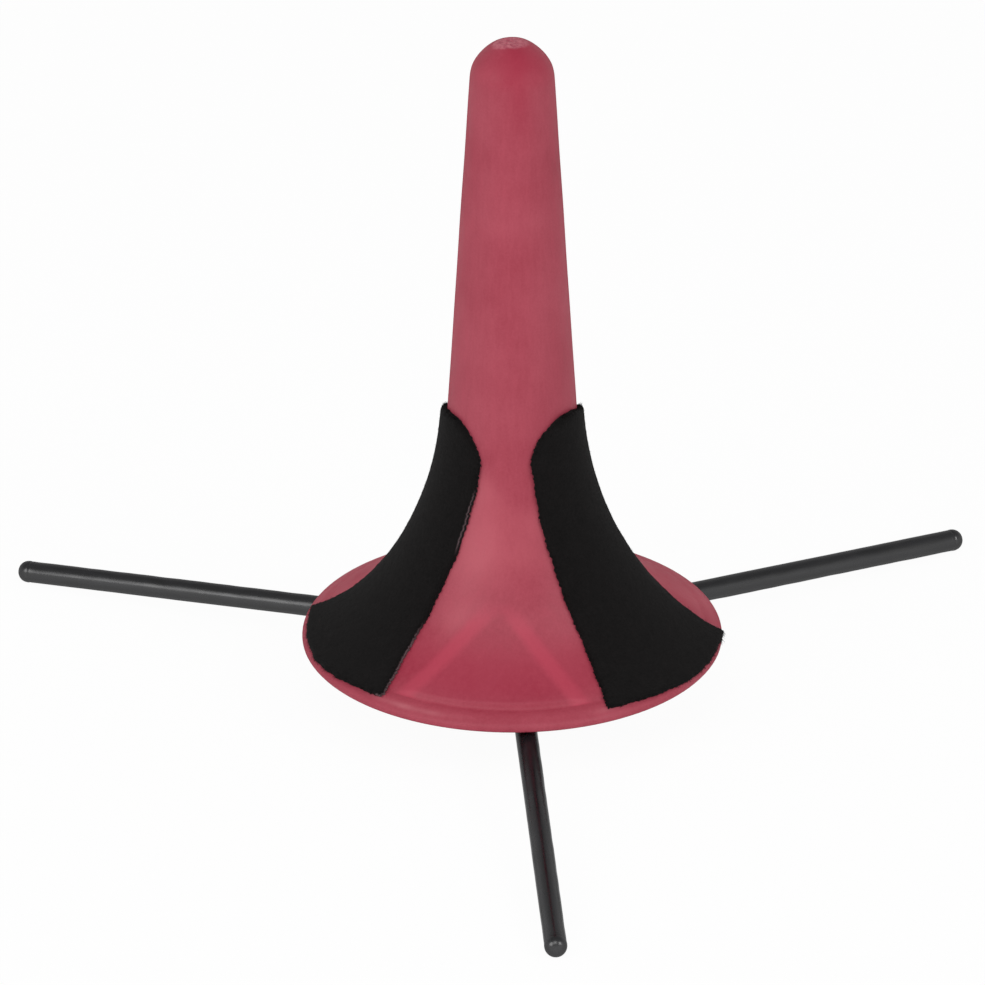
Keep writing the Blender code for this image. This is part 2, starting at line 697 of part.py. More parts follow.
def make_legs(shop, steel, vinyl):
    """For each leg a pin in the hub, and a rod and a sleeve below an empty on the hinge's axis."""
    pin = prism_mesh("leg_pin", PIN_RADIUS, -PIN_HALF_LENGTH, PIN_HALF_LENGTH, SMALL_STEPS)
    eye = prism_mesh("leg_eye", EYE_RADIUS, -EYE_THICKNESS / 2, EYE_THICKNESS / 2, SMALL_STEPS)
    bore = prism_mesh(
        "leg_eye_bore", PIN_RADIUS + PIN_FIT, -EYE_THICKNESS, EYE_THICKNESS, SMALL_STEPS
    )
    across = (math.radians(90), 0, 0)
    for number, azimuth in enumerate(LEG_AZIMUTHS, 1):
        turned = math.radians(azimuth)
        place = pin_place(turned)
        shop.add(
            f"leg_pin_{number}", pin.copy(), steel, location=place, rotation=(across[0], 0, turned)
        )
        hinge = shop.empty(f"leg_hinge_{number}", shop.stand, place, (0, LEG_SLOPE, turned))
        rod = shop.add(f"leg_rod_{number}", rod_mesh("leg_rod"), steel, parent=hinge)
        eye_blank = shop.add(f"leg_eye_{number}", eye.copy(), parent=hinge, rotation=across)
        eye_bore = shop.add(f"leg_eye_bore_{number}", bore.copy(), parent=hinge, rotation=across)
        join_or_cut(rod, "UNION", eye_blank)
        join_or_cut(rod, "DIFFERENCE", eye_bore)
        sleeve = shop.add(
            f"leg_sleeve_{number}",
            profile_mesh("leg_sleeve", sleeve_profile(), closed=False),
            vinyl,
            parent=hinge,
            rotation=(0, math.radians(90), 0),
        )
        turn(sleeve, LEG_STEPS)


def main():
    """Builds the stand."""
    clear_scene()
    shop = Workshop()
    red = new_material("red_cone_plastic", (168, 72, 88), 0.55)
    black_plastic = new_material("black_hub_plastic", (34, 34, 36), 0.5)
    socket_plastic = new_material("socket_plastic", (150, 62, 76), 0.6)
    felt = new_material("black_felt", (28, 27, 27), 0.95)
    vinyl = new_material("black_vinyl", (50, 50, 53), 0.4)
    steel = new_material("bright_steel", (170, 170, 172), 0.35, 1.0)
    rubber = new_material("black_rubber", (26, 26, 26), 0.7)
    meridian = Meridian()
    make_cone(shop, meridian, red)
    make_pads(shop, meridian, felt)
    make_socket(shop, socket_plastic)
    make_hub(shop, black_plastic)
    make_screw(shop, steel)
    make_grip_ring(shop, rubber)
    make_legs(shop, steel, vinyl)


main()
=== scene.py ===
"""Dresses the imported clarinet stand: finer shell, felts and sleeves, every finish, and the studio.

Metres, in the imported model's frame: the floor is z = 0, the front leg points along -Y, and the stand's own
upright axis stands a little behind the origin. An angle round that axis is counted from the front, -Y,
towards the right, +X.
"""

import logging
import math
from dataclasses import dataclass
from enum import Enum

import bmesh
import bpy
import numpy as np
from mathutils import Matrix


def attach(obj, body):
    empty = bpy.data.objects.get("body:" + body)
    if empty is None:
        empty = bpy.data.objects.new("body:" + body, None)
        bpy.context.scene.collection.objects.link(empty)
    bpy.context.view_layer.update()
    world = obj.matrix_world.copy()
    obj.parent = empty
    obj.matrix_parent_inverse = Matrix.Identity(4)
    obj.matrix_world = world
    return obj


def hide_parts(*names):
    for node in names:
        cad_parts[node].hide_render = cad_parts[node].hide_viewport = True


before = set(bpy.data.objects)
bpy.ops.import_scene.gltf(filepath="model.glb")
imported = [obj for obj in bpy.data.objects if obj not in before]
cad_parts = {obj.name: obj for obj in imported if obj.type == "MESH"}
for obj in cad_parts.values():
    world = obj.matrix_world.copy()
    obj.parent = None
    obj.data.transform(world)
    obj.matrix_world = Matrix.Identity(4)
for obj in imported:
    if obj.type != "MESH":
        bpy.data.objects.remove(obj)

MM = 0.001
SAME_POINT = 1e-7  # metres within which points are merged
NO_AREA = 1e-8  # metres below which an edge is dissolved
NO_SQUARE = 1e-18  # least square of a step, so that nothing is divided by 0
BLOCKS = 6  # parts in which distances are worked out, to save memory
PLANE_WAVES = 24  # waves in an uneven plane
RANGE_SOCKETS = ("From Min", "From Max", "To Min", "To Max")
Socket = bpy.types.NodeSocket
Triple = tuple[float, float, float]
Colour = Triple
Span = tuple[float, float]
log = logging.getLogger("clarinet_stand")


@dataclass(frozen=True)
class PadCut:
    """How one pad was cut by hand and laid: angles in degrees, and lengths in metres.

    The top and foot are moved down and up from the pattern's, the top is trimmed further, mostly away from the
    front, the foot is left longer towards the front and bows down, the side away from the front swells, and
    the felt stands off the flare's hollow.
    """

    angle: float
    askew: float
    top_cut: float
    foot_cut: float
    trim: float
    foot_drop: float
    foot_bow: float
    bow_place: float
    bridge: float
    swell: float = 0.0


class FeltPlace(Enum):
    """The three felt pads."""

    LEFT = PadCut(
        angle=-75.3,
        askew=-1.3,
        top_cut=0.5 * MM,
        foot_cut=0.5 * MM,
        trim=1.4 * MM,
        foot_drop=0.7 * MM,
        foot_bow=0.65 * MM,
        bow_place=3.0 * MM,
        bridge=0.35 * MM,
    )
    RIGHT = PadCut(
        angle=54.9,
        askew=2.1,
        top_cut=-0.4 * MM,
        foot_cut=-0.5 * MM,
        trim=1.6 * MM,
        foot_drop=0.1 * MM,
        foot_bow=0.4 * MM,
        bow_place=0.0,
        bridge=0.60 * MM,
        swell=2.6 * MM,
    )
    BACK = PadCut(
        angle=170.6,
        askew=0.0,
        top_cut=0.1 * MM,
        foot_cut=0.0,
        trim=0.6 * MM,
        foot_drop=0.0,
        foot_bow=0.3 * MM,
        bow_place=-3.0 * MM,
        bridge=0.45 * MM,
    )

    @property
    def angle(self) -> float:
        """The angle of the pad's middle round the stand's axis, in radians."""
        return math.radians(self.value.angle)

    @property
    def askew(self) -> float:
        """How far the pad is turned in its own plane, in radians."""
        return math.radians(self.value.askew)

    @property
    def front_side(self) -> int:
        """Which way is the front from the pad's middle: 1 where the angle grows, or else -1."""
        return 1 if self.value.angle < 0.0 else -1

    @property
    def node(self) -> str:
        """The CAD node that the pad stands for."""
        return f"felt_pad_{self.name.lower()}"


class LegPlace(Enum):
    """The three legs, by their azimuth from +X."""

    FRONT = (1, -90.0)
    RIGHT = (2, 30.0)
    LEFT = (3, 150.0)

    @property
    def number(self) -> int:
        """The leg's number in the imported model."""
        return self.value[0]

    @property
    def azimuth(self) -> float:
        """The leg's azimuth in radians."""
        return math.radians(self.value[1])


# Ways with arrays and meshes


def smooth_step(values: np.ndarray) -> np.ndarray:
    """Rises from 0 to 1 with level ends: three squares less two cubes of the value clipped to 0..1."""
    clipped = np.clip(values, 0.0, 1.0)
    return clipped * clipped * (3.0 - 2.0 * clipped)


def bell(values: np.ndarray, middle: float, width: float) -> np.ndarray:
    """A bell curve: e to the minus square of the distance from the middle over the width."""
    return np.exp(-(((values - middle) / width) ** 2))


def wrapped(angles: np.ndarray) -> np.ndarray:
    """The same angles counted from -pi to pi."""
    return np.angle(np.exp(1j * angles))


def wander(places: np.ndarray, waves: tuple[float, ...], seed: int) -> np.ndarray:
    """A wavering line: the sum of sines of the given wavelengths with seeded phases, about 1 high.

    Args:
        places: where along the line, in metres.
        waves: the wavelengths, in metres.
        seed: picks the phases.

    Returns:
        One value for each place.
    """
    phases = np.random.default_rng(seed).uniform(0.0, 2.0 * math.pi, len(waves))
    turns = 2.0 * math.pi * places[..., None] / np.array(waves) + phases
    return np.sin(turns).sum(axis=-1) / math.sqrt(len(waves))


def rough_plane(x: np.ndarray, y: np.ndarray, shortest: float, longest: float, seed: int) -> np.ndarray:
    """An uneven plane: the sum of plane waves with seeded directions, lengths and phases, about 1 high.

    Args:
        x: places across, in metres.
        y: places along, in metres.
        shortest: the shortest wavelength, in metres.
        longest: the longest.
        seed: picks the waves.

    Returns:
        One value for each place.
    """
    draw = np.random.default_rng(seed)
    turns = draw.uniform(0.0, math.pi, PLANE_WAVES)
    pace = 2.0 * math.pi / draw.uniform(shortest, longest, PLANE_WAVES)
    phases = draw.uniform(0.0, 2.0 * math.pi, PLANE_WAVES)
    ways = x[..., None] * np.cos(turns) + y[..., None] * np.sin(turns)
    return np.sin(ways * pace + phases).sum(axis=-1) / math.sqrt(PLANE_WAVES / 2.0)


def cubic(start: np.ndarray, leave: np.ndarray, arrive: np.ndarray, end: np.ndarray, count: int) -> np.ndarray:
    """A cubic Bezier curve: its ends and the two points that pull it, weighted by cubes of t and 1 - t."""
    t = np.linspace(0.0, 1.0, count)[:, None]
    return (1 - t) ** 3 * start + 3 * (1 - t) ** 2 * t * leave + 3 * (1 - t) * t**2 * arrive + t**3 * end


def grid_faces(rows: int, columns: int, closed: bool) -> np.ndarray:
    """Four corners for each cell of a grid, wrapping round from the last column to the first if closed.

    Args:
        rows: number of rows of points.
        columns: number of points in a row.
        closed: whether each row is a ring.

    Returns:
        An array of cells by 4 point numbers, turned so that faces look along row step x column step.
    """
    row = np.arange(rows - 1)[:, None]
    column = np.arange(columns if closed else columns - 1)[None, :]
    following = (column + 1) % columns
    corners = [
        row * columns + column,
        (row + 1) * columns + column,
        (row + 1) * columns + following,
        row * columns + following,
    ]
    return np.stack([c + 0 * row for c in corners], axis=-1).reshape(-1, 4)


def new_object(name: str, data: bpy.types.ID) -> bpy.types.Object:
    """A new object of the scene.

    Args:
        name: its name.
        data: its mesh, camera or lamp.

    Returns:
        The object, linked to the scene.
    """
    made = bpy.data.objects.new(name, data)
    bpy.context.scene.collection.objects.link(made)
    return made


def new_piece(
    name: str, points: np.ndarray, quads: np.ndarray, marks: dict[str, np.ndarray] | None = None
) -> bpy.types.Object:
    """A smooth-shaded mesh object at the origin, with its poles and seams merged and its faces outwards.

    Args:
        name: the object's name.
        points: an array of points by 3, in the row frame.
        quads: an array of cells by 4 point numbers.
        marks: float or vector attributes, one value or three for each point.

    Returns:
        The object, linked to the scene.
    """
    mesh = bpy.data.meshes.new(name)
    mesh.from_pydata(points.tolist(), [], quads.tolist())
    for mark, values in (marks or {}).items():
        kind, slot = ("FLOAT", "value") if values.ndim == 1 else ("FLOAT_VECTOR", "vector")
        attribute = mesh.attributes.new(mark, kind, "POINT")
        attribute.data.foreach_set(slot, np.ascontiguousarray(values, dtype=np.float32).ravel())
    close_mesh(mesh)
    mesh.shade_smooth()
    return new_object(name, mesh)


def close_mesh(mesh: bpy.types.Mesh) -> None:
    """Merges doubled points, drops cells with no area and turns the faces outwards.

    Args:
        mesh: the mesh, changed where it is.
    """
    shape = bmesh.new()
    shape.from_mesh(mesh)
    bmesh.ops.remove_doubles(shape, verts=shape.verts, dist=SAME_POINT)
    bmesh.ops.dissolve_degenerate(shape, edges=shape.edges, dist=NO_AREA)
    bmesh.ops.recalc_face_normals(shape, faces=shape.faces)
    shape.to_mesh(mesh)
    shape.free()


def turned_piece(
    name: str, sections: np.ndarray, columns: int, centre: Triple
) -> bpy.types.Object:
    """A turned piece: each (radius, height) of a profile carried round an upright axis through the centre.

    Args:
        name: the object's name.
        sections: the profile, as radii and heights.
        columns: steps round the axis.
        centre: a point of the axis.

    Returns:
        The object.
    """
    angles = np.linspace(0.0, 2.0 * math.pi, columns, endpoint=False)
    radii, heights = sections[:, 0][:, None], sections[:, 1][:, None]
    points = np.stack(
        [radii * np.cos(angles), radii * np.sin(angles), heights + 0 * angles], axis=-1
    ) + np.array(centre)
    return new_piece(name, points.reshape(-1, 3), grid_faces(len(sections), columns, closed=True))


# Finishes


def linear(channels: Colour) -> tuple[float, float, float, float]:
    """Three display values from 0 to 255 as linear light with full alpha.

    Each value over 255 is divided by 12.92 in the dark, and elsewhere raised to 2.4 after the usual offset.

    Args:
        channels: red, green and blue.

    Returns:
        Red, green, blue and alpha.
    """
    shares = np.array(channels) / 255.0
    light = np.where(shares <= 0.04045, shares / 12.92, ((shares + 0.055) / 1.055) ** 2.4)
    return (*light.tolist(), 1.0)


class Recipe:
    """A material's nodes, with short ways to add and join them."""

    def __init__(self, name: str) -> None:
        """Starts from one Principled shader.

        Args:
            name: the material's name.
        """
        self.material = bpy.data.materials.new(name)
        self.material.use_nodes = True
        self.nodes = self.material.node_tree.nodes
        self.links = self.material.node_tree.links
        self.shader = self.nodes["Principled BSDF"]

    def set(self, **sockets: float) -> None:
        """Sets numbers on the shader's own sockets; a name's underscores stand for spaces."""
        for name, value in sockets.items():
            self.shader.inputs[name.replace("_", " ").title().replace("Ior", "IOR")].default_value = value

    def join(self, source: Socket, target: Socket) -> None:
        """Joins two sockets."""
        self.links.new(source, target)

    def object_place(self, scale: Triple = (1.0, 1.0, 1.0)) -> Socket:
        """The surface's place in the row frame, stretched along each axis by a scale."""
        source = self.nodes.new("ShaderNodeTexCoord").outputs["Object"]
        return self.stretched(source, scale)

    def own_place(self, mark: str, scale: Triple = (1.0, 1.0, 1.0)) -> Socket:
        """The piece's own vector attribute, stretched by a scale.

        Args:
            mark: the attribute's name.
            scale: factors along its three parts.

        Returns:
            The stretched vector.
        """
        reader = self.nodes.new("ShaderNodeAttribute")
        reader.attribute_name = mark
        return self.stretched(reader.outputs["Vector"], scale)

    def mark(self, mark: str) -> Socket:
        """The piece's own number attribute.

        Args:
            mark: the attribute's name.

        Returns:
            Its number.
        """
        reader = self.nodes.new("ShaderNodeAttribute")
        reader.attribute_name = mark
        return reader.outputs["Fac"]

    def stretched(self, source: Socket, scale: Triple) -> Socket:
        """A vector after a Mapping node's scale.

        Args:
            source: the vector.
            scale: factors along x, y and z.

        Returns:
            The stretched vector.
        """
        mapping = self.nodes.new("ShaderNodeMapping")
        mapping.inputs["Scale"].default_value = scale
        self.join(source, mapping.inputs["Vector"])
        return mapping.outputs["Vector"]

    def noise(self, place: Socket, size: float, detail: float = 3.0, rough: float = 0.5) -> Socket:
        """Cloudy noise whose spots are about one size across, in metres.

        Args:
            place: where the noise is read.
            size: about how wide a spot is, in metres.
            detail: how many finer layers it has.
            rough: how strong the finer layers are.

        Returns:
            A number about 0.5, from 0 to 1.
        """
        noise = self.nodes.new("ShaderNodeTexNoise")
        noise.inputs["Scale"].default_value = 1.0 / size
        noise.inputs["Detail"].default_value = detail
        noise.inputs["Roughness"].default_value = rough
        self.join(place, noise.inputs["Vector"])
        return noise.outputs["Fac"]

    def spread(self, value: Socket, low: float, high: float, to_low: float = 0.0, to_high: float = 1.0) -> Socket:
        """A value's range moved onto another range, and clipped to it.

        Args:
            value: what is moved.
            low: start of its range.
            high: end of its range.
            to_low: start of the new range.
            to_high: end of the new range.

        Returns:
            The moved value.
        """
        node = self.nodes.new("ShaderNodeMapRange")
        for name, number in zip(RANGE_SOCKETS, (low, high, to_low, to_high)):
            node.inputs[name].default_value = number
        self.join(value, node.inputs["Value"])
        return node.outputs["Result"]

    def sum_of(self, first: Socket, second: Socket, share: float) -> Socket:
        """The first value plus a share of the second.

        Args:
            first: counted whole.
            second: counted in part.
            share: how much of the second counts.

        Returns:
            The sum.
        """
        node = self.nodes.new("ShaderNodeMath")
        node.operation = "MULTIPLY_ADD"
        node.inputs[1].default_value = share
        self.join(second, node.inputs[0])
        self.join(first, node.inputs[2])
        return node.outputs["Value"]

    def blend(self, share: Socket, low: Socket | Colour, high: Socket | Colour) -> Socket:
        """Mixes two colours, each a socket or display values, by a share.

        Args:
            share: 0 for the low colour, 1 for the high one.
            low: the first colour.
            high: the second.

        Returns:
            The mixed colour.
        """
        node = self.nodes.new("ShaderNodeMix")
        node.data_type = "RGBA"
        self.join(share, node.inputs[0])
        for side, colour in ((6, low), (7, high)):
            if isinstance(colour, tuple):
                node.inputs[side].default_value = linear(colour)
            else:
                self.join(colour, node.inputs[side])
        return node.outputs[2]

    def fading_gloss(self, level: float, rest: float, turned: Span, dull: Socket | None = None) -> None:
        """Lets the specular level sink where the surface turns away, which keeps outlines dark.

        Args:
            level: the specular level where the surface faces the eye.
            rest: the level where it has turned away.
            turned: how far it has turned where the sinking starts and ends, from 0 to 1.
            dull: how much of the level is lost besides, from 0 to 1.
        """
        facing = self.nodes.new("ShaderNodeLayerWeight")
        facing.inputs["Blend"].default_value = 0.5
        sinking = self.spread(facing.outputs["Facing"], *turned, level, rest)
        if dull is not None:
            sinking = self.product(sinking, self.spread(dull, 0.0, 1.0, 1.0, 0.0))
        self.join(sinking, self.shader.inputs["Specular IOR Level"])

    def product(self, first: Socket, second: Socket) -> Socket:
        """One value times another.

        Args:
            first: one value.
            second: the other.

        Returns:
            The product.
        """
        node = self.nodes.new("ShaderNodeMath")
        node.operation = "MULTIPLY"
        self.join(first, node.inputs[0])
        self.join(second, node.inputs[1])
        return node.outputs["Value"]

    def relief(self, height: Socket, depth: float, before: Socket | None = None) -> Socket:
        """A bump of the given depth in metres, on top of an earlier one if there is one.

        Args:
            height: the height, from 0 to 1.
            depth: how high a height of 1 stands, in metres.
            before: the normal of an earlier bump.

        Returns:
            The normal.
        """
        node = self.nodes.new("ShaderNodeBump")
        node.inputs["Distance"].default_value = depth
        self.join(height, node.inputs["Height"])
        if before is not None:
            self.join(before, node.inputs["Normal"])
        return node.outputs["Normal"]

    def finish(self, colour: Socket, roughness: Socket, normal: Socket) -> bpy.types.Material:
        """Joins the colour, roughness and normal to the shader, and gives the material.

        Args:
            colour: the base colour.
            roughness: the roughness.
            normal: the normal.

        Returns:
            The material.
        """
        self.join(colour, self.shader.inputs["Base Color"])
        self.join(roughness, self.shader.inputs["Roughness"])
        self.join(normal, self.shader.inputs["Normal"])
        return self.material


@dataclass(frozen=True)
class RedPlastic:
    """Moulded red plastic, satin and a little cloudy, with painted shade, sheen and highlights on it, and a scarred
    gate mark.
    """

    name: str = "red_plastic"
    deep: Colour = (153, 51, 68)
    pale: Colour = (173, 75, 90)
    # The next six tints are painted light: the deeper reds painted shade, the paler ones painted sheen and
    # highlights.
    dome_shade: Colour = (152, 38, 60)
    low: Colour = (156, 44, 65)
    bloom_and_sheen: Colour = (193, 96, 108)
    face: Colour = (150, 44, 66)
    flank: Colour = (188, 70, 90)
    lip_highlight: Colour = (198, 120, 128)
    scar: Colour = (188, 106, 117)
    scar_dark: Colour = (164, 76, 92)
    roughness: Span = (0.44, 0.60)

    def make(self) -> bpy.types.Material:
        """Builds the material: clouds and fine mottling in the colour, and mould grain in the relief.

        Painted shade makes the red deeper just below the gate mark, on the lowest part of the flare and on the
        plaque's face. Higher up the flare a painted sheen gives a greyish cast, and painted highlights lighten the
        plaque's flanks and the lip.

        Returns:
            The material.
        """
        recipe = Recipe(self.name)
        recipe.fading_gloss(level=0.30, rest=0.02, turned=(0.25, 0.85), dull=recipe.mark("dull"))
        place = recipe.object_place()
        drawn = recipe.object_place(scale=(1.0, 1.0, 0.18))
        clouds = recipe.noise(place, size=17 * MM, detail=3.0, rough=0.55)
        mottle = recipe.noise(drawn, size=0.9 * MM, detail=4.0, rough=0.7)
        specks = recipe.noise(place, size=0.38 * MM, detail=2.0, rough=0.6)
        cloudy = recipe.sum_of(recipe.sum_of(clouds, mottle, 0.45), specks, 0.35)
        colour = recipe.blend(recipe.spread(cloudy, 0.62, 1.19), self.deep, self.pale)
        # Painted light: deeper reds as painted shade low on the flare, under the gate and on the plaque's face, a
        # greyish painted sheen up the flare, and a painted highlight on the plaque's flanks.
        stains = (
            ("low", self.low, 0.38),
            ("bloom_and_sheen", self.bloom_and_sheen, 0.50),
            ("dome_shade", self.dome_shade, 0.65),
            ("face", self.face, 0.20),
            ("flank", self.flank, 0.6),
        )
        for mark, tint, most in stains:
            uneven = recipe.sum_of(recipe.mark(mark), mottle, 0.3)
            colour = recipe.blend(recipe.spread(uneven, 0.15, 1.15, 0.0, most), colour, tint)
        # A painted highlight along the lip.
        colour = recipe.blend(recipe.spread(recipe.mark("lip_highlight"), 0.0, 1.0, 0.0, 0.45), colour, self.lip_highlight)
        scars = recipe.noise(place, size=0.8 * MM, detail=4.0, rough=0.65)
        scarred = recipe.blend(recipe.spread(scars, 0.38, 0.60), self.scar_dark, self.scar)
        colour = recipe.blend(recipe.mark("gate"), colour, scarred)
        rough = recipe.spread(mottle, 0.3, 0.7, *self.roughness)
        grain = recipe.relief(recipe.noise(place, size=0.28 * MM, detail=3.0, rough=0.6), depth=0.008 * MM)
        normal = recipe.relief(recipe.noise(drawn, size=1.6 * MM, detail=2.0), depth=0.02 * MM, before=grain)
        return recipe.finish(colour, rough, normal)


@dataclass(frozen=True)
class BlackFelt:
    """Pressed black felt: matted short fibres, nearly no shine."""

    name: str = "black_felt"
    dark: Colour = (13, 12, 12)
    pale: Colour = (25, 23, 23)
    # A pale tint along the left pad's front edge.
    pale_edge: Colour = (132, 112, 116)

    def make(self) -> bpy.types.Material:
        """Builds the material: crossing stretched noises stand for the fibres, in colour and in relief.

        Returns:
            The material.
        """
        recipe = Recipe(self.name)
        recipe.set(specular_ior_level=0.05, sheen_weight=0.03, sheen_roughness=0.6)
        sideways, lengthwise = (
            recipe.own_place("cut", scale=scale) for scale in ((1.0, 0.22, 1.0), (0.22, 1.0, 1.0))
        )
        first = recipe.noise(sideways, size=0.16 * MM, detail=4.0, rough=0.7)
        second = recipe.noise(lengthwise, size=0.16 * MM, detail=4.0, rough=0.7)
        fibres = recipe.sum_of(first, second, 1.0)
        tufts = recipe.noise(recipe.own_place("cut"), size=2.2 * MM, detail=3.0, rough=0.6)
        matted = recipe.sum_of(fibres, tufts, 0.5)
        colour = recipe.blend(recipe.spread(matted, 0.95, 1.55), self.dark, self.pale)
        # Paler along the left pad's front edge.
        colour = recipe.blend(recipe.mark("pale_edge"), colour, self.pale_edge)
        rough = recipe.spread(tufts, 0.3, 0.7, 0.93, 1.0)
        normal = recipe.relief(tufts, depth=0.10 * MM, before=recipe.relief(fibres, depth=0.07 * MM))
        return recipe.finish(colour, rough, normal)


@dataclass(frozen=True)
class BlackVinyl:
    """Black vinyl sleeve, dipped and a little lumpy, so that its sheen breaks along the leg."""

    name: str = "black_vinyl"
    dark: Colour = (16, 16, 18)
    pale: Colour = (27, 27, 30)

    def make(self) -> bpy.types.Material:
        """Builds the material from the leg's own length, in the x of its mark, and the place across it.

        Returns:
            The material.
        """
        recipe = Recipe(self.name)
        recipe.fading_gloss(level=0.76, rest=0.04, turned=(0.12, 0.66))
        long_place = recipe.own_place("along", scale=(0.16, 1.0, 1.0))
        streaks = recipe.noise(long_place, size=1.1 * MM, detail=3.0, rough=0.6)
        lumps = recipe.noise(recipe.own_place("along"), size=5.5 * MM, detail=2.0, rough=0.5)
        colour = recipe.blend(recipe.spread(streaks, 0.35, 0.65), self.dark, self.pale)
        rough = recipe.spread(recipe.sum_of(lumps, streaks, 0.4), 0.4, 1.0, 0.20, 0.34)
        pores = recipe.noise(recipe.own_place("along"), size=0.9 * MM, detail=2.0, rough=0.5)
        skin = recipe.relief(pores, depth=0.004 * MM)
        normal = recipe.relief(streaks, depth=0.010 * MM, before=skin)
        return recipe.finish(colour, rough, normal)


@dataclass(frozen=True)
class DullPlastic:
    """Moulded plastic with a fine spark-eroded grain, in any colour."""

    name: str
    dark: Colour
    pale: Colour
    roughness: Span = (0.5, 0.64)

    def make(self) -> bpy.types.Material:
        """Builds the material: two sizes of noise in colour, roughness and relief.

        Returns:
            The material.
        """
        recipe = Recipe(self.name)
        recipe.set(specular_ior_level=0.45)
        place = recipe.object_place()
        clouds = recipe.noise(place, size=4.0 * MM, detail=3.0, rough=0.6)
        grain = recipe.noise(place, size=0.22 * MM, detail=3.0, rough=0.6)
        share = recipe.spread(recipe.sum_of(clouds, grain, 0.6), 0.55, 1.05)
        colour = recipe.blend(share, self.dark, self.pale)
        rough = recipe.spread(grain, 0.3, 0.7, *self.roughness)
        return recipe.finish(colour, rough, recipe.relief(grain, depth=0.012 * MM))


@dataclass(frozen=True)
class BrightSteel:
    """Drawn and plated steel with fine draw lines and a few dull patches."""

    name: str = "bright_steel"
    dark: Colour = (150, 150, 152)
    pale: Colour = (196, 196, 198)

    def make(self) -> bpy.types.Material:
        """Builds the material: fine noise in roughness and relief over cloudy metal.

        Returns:
            The material.
        """
        recipe = Recipe(self.name)
        recipe.set(metallic=1.0)
        place = recipe.object_place()
        clouds = recipe.noise(place, size=2.5 * MM, detail=4.0, rough=0.6)
        scratches = recipe.noise(recipe.object_place(scale=(1.0, 1.0, 0.08)), size=0.2 * MM, detail=4.0, rough=0.7)
        colour = recipe.blend(recipe.spread(clouds, 0.35, 0.65), self.dark, self.pale)
        rough = recipe.spread(recipe.sum_of(clouds, scratches, 0.5), 0.5, 1.1, 0.22, 0.42)
        return recipe.finish(colour, rough, recipe.relief(scratches, depth=0.004 * MM))


@dataclass(frozen=True)
class BlackRubber:
    """Black rubber with a dusty bloom."""

    name: str = "black_rubber"
    dark: Colour = (20, 20, 20)
    pale: Colour = (44, 43, 42)

    def make(self) -> bpy.types.Material:
        """Builds the material: a cloudy bloom in the colour over a fine matt skin.

        Returns:
            The material.
        """
        recipe = Recipe(self.name)
        recipe.set(specular_ior_level=0.35)
        place = recipe.object_place()
        bloom_and_sheen = recipe.noise(place, size=1.8 * MM, detail=4.0, rough=0.65)
        skin = recipe.noise(place, size=0.15 * MM, detail=2.0)
        colour = recipe.blend(recipe.spread(bloom_and_sheen, 0.45, 0.75), self.dark, self.pale)
        rough = recipe.spread(bloom_and_sheen, 0.3, 0.7, 0.62, 0.8)
        return recipe.finish(colour, rough, recipe.relief(skin, depth=0.01 * MM))


def dress_node(name: str, material: bpy.types.Material) -> None:
    """Gives a CAD node its finish.

    Args:
        name: the CAD node.
        material: its finish.
    """
    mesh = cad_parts[name].data
    mesh.materials.clear()
    mesh.materials.append(material)
    log.info("dressed CAD node %s in %s", name, material.name)


def seat_piece(
    piece: bpy.types.Object, material: bpy.types.Material, body: str, stands_for: tuple[str, ...]
) -> None:
    """Gives a new piece its finish, body and material slot, in place of CAD nodes if it stands for any.

    Args:
        piece: the new piece.
        material: its finish.
        body: the body that it rides on.
        stands_for: the CAD nodes that it replaces, or none.
    """
    piece.data.materials.append(material)
    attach(piece, body)
    if stands_for:
        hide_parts(*stands_for)
    log.info("built %s on %s: %d faces", piece.name, body, len(piece.data.polygons))


# Shared sizes


@dataclass(frozen=True)
class LegLayout:
    """How the legs splay from the hub, which also sets how high the hub and the cone stand."""

    slope: float = math.radians(5.75)
    reach: float = 98.0 * MM
    tip_radius: float = 2.02 * MM
    sleeve_radius: float = 1.87 * MM
    rim_gap: float = 0.9 * MM
    pin_circle: float = 5.6 * MM
    eye_radius: float = 2.0 * MM
    flange_radius: float = 10.5 * MM
    flange_thickness: float = 2.4 * MM

    @property
    def axis_y(self) -> float:
        """How far the stand's axis is behind the origin: half of what the front leg reaches beyond the others."""
        return self.reach * (1.0 - math.cos(math.radians(60.0))) / 2.0

    @property
    def pin_to_tip(self) -> float:
        """From a hinge pin to the centre of the domed tip, along the leg."""
        return (self.reach - self.pin_circle) / math.cos(self.slope)

    @property
    def flange_top(self) -> float:
        """Height of the hub flange's upper face."""
        return self.height_at(self.flange_radius) + self.eye_radius + self.flange_thickness

    def height_at(self, radius: float) -> float:
        """Height of a leg's centre line at a distance from the stand's axis: it falls evenly to the tip."""
        return self.tip_radius + (self.reach - radius) * math.tan(self.slope)

    def rim_height(self, rim_radius: float) -> float:
        """Height of the cone's lowest edge above the floor."""
        return self.height_at(rim_radius) + self.sleeve_radius / math.cos(self.slope) + self.rim_gap

    def leg_points(self, azimuth: float, along: np.ndarray, side: np.ndarray, up: np.ndarray) -> np.ndarray:
        """Points in the row frame from a leg's own places: along it from the pin, to its left, and upwards.

        The leg's own axes are tipped down by the slope, turned to the azimuth, and moved to the pin.

        Args:
            azimuth: the leg's, in radians from +X.
            along: places along it, in metres.
            side: places to its left.
            up: places upwards.

        Returns:
            The points, with x, y and z last.
        """
        c, s = math.cos(azimuth), math.sin(azimuth)
        out = along * math.cos(self.slope) + up * math.sin(self.slope)
        height = up * math.cos(self.slope) - along * math.sin(self.slope)
        radius = self.pin_circle + out
        return np.stack(
            [
                radius * c - side * s,
                self.axis_y + radius * s + side * c,
                self.height_at(self.pin_circle) + height,
            ],
            axis=-1,
        )


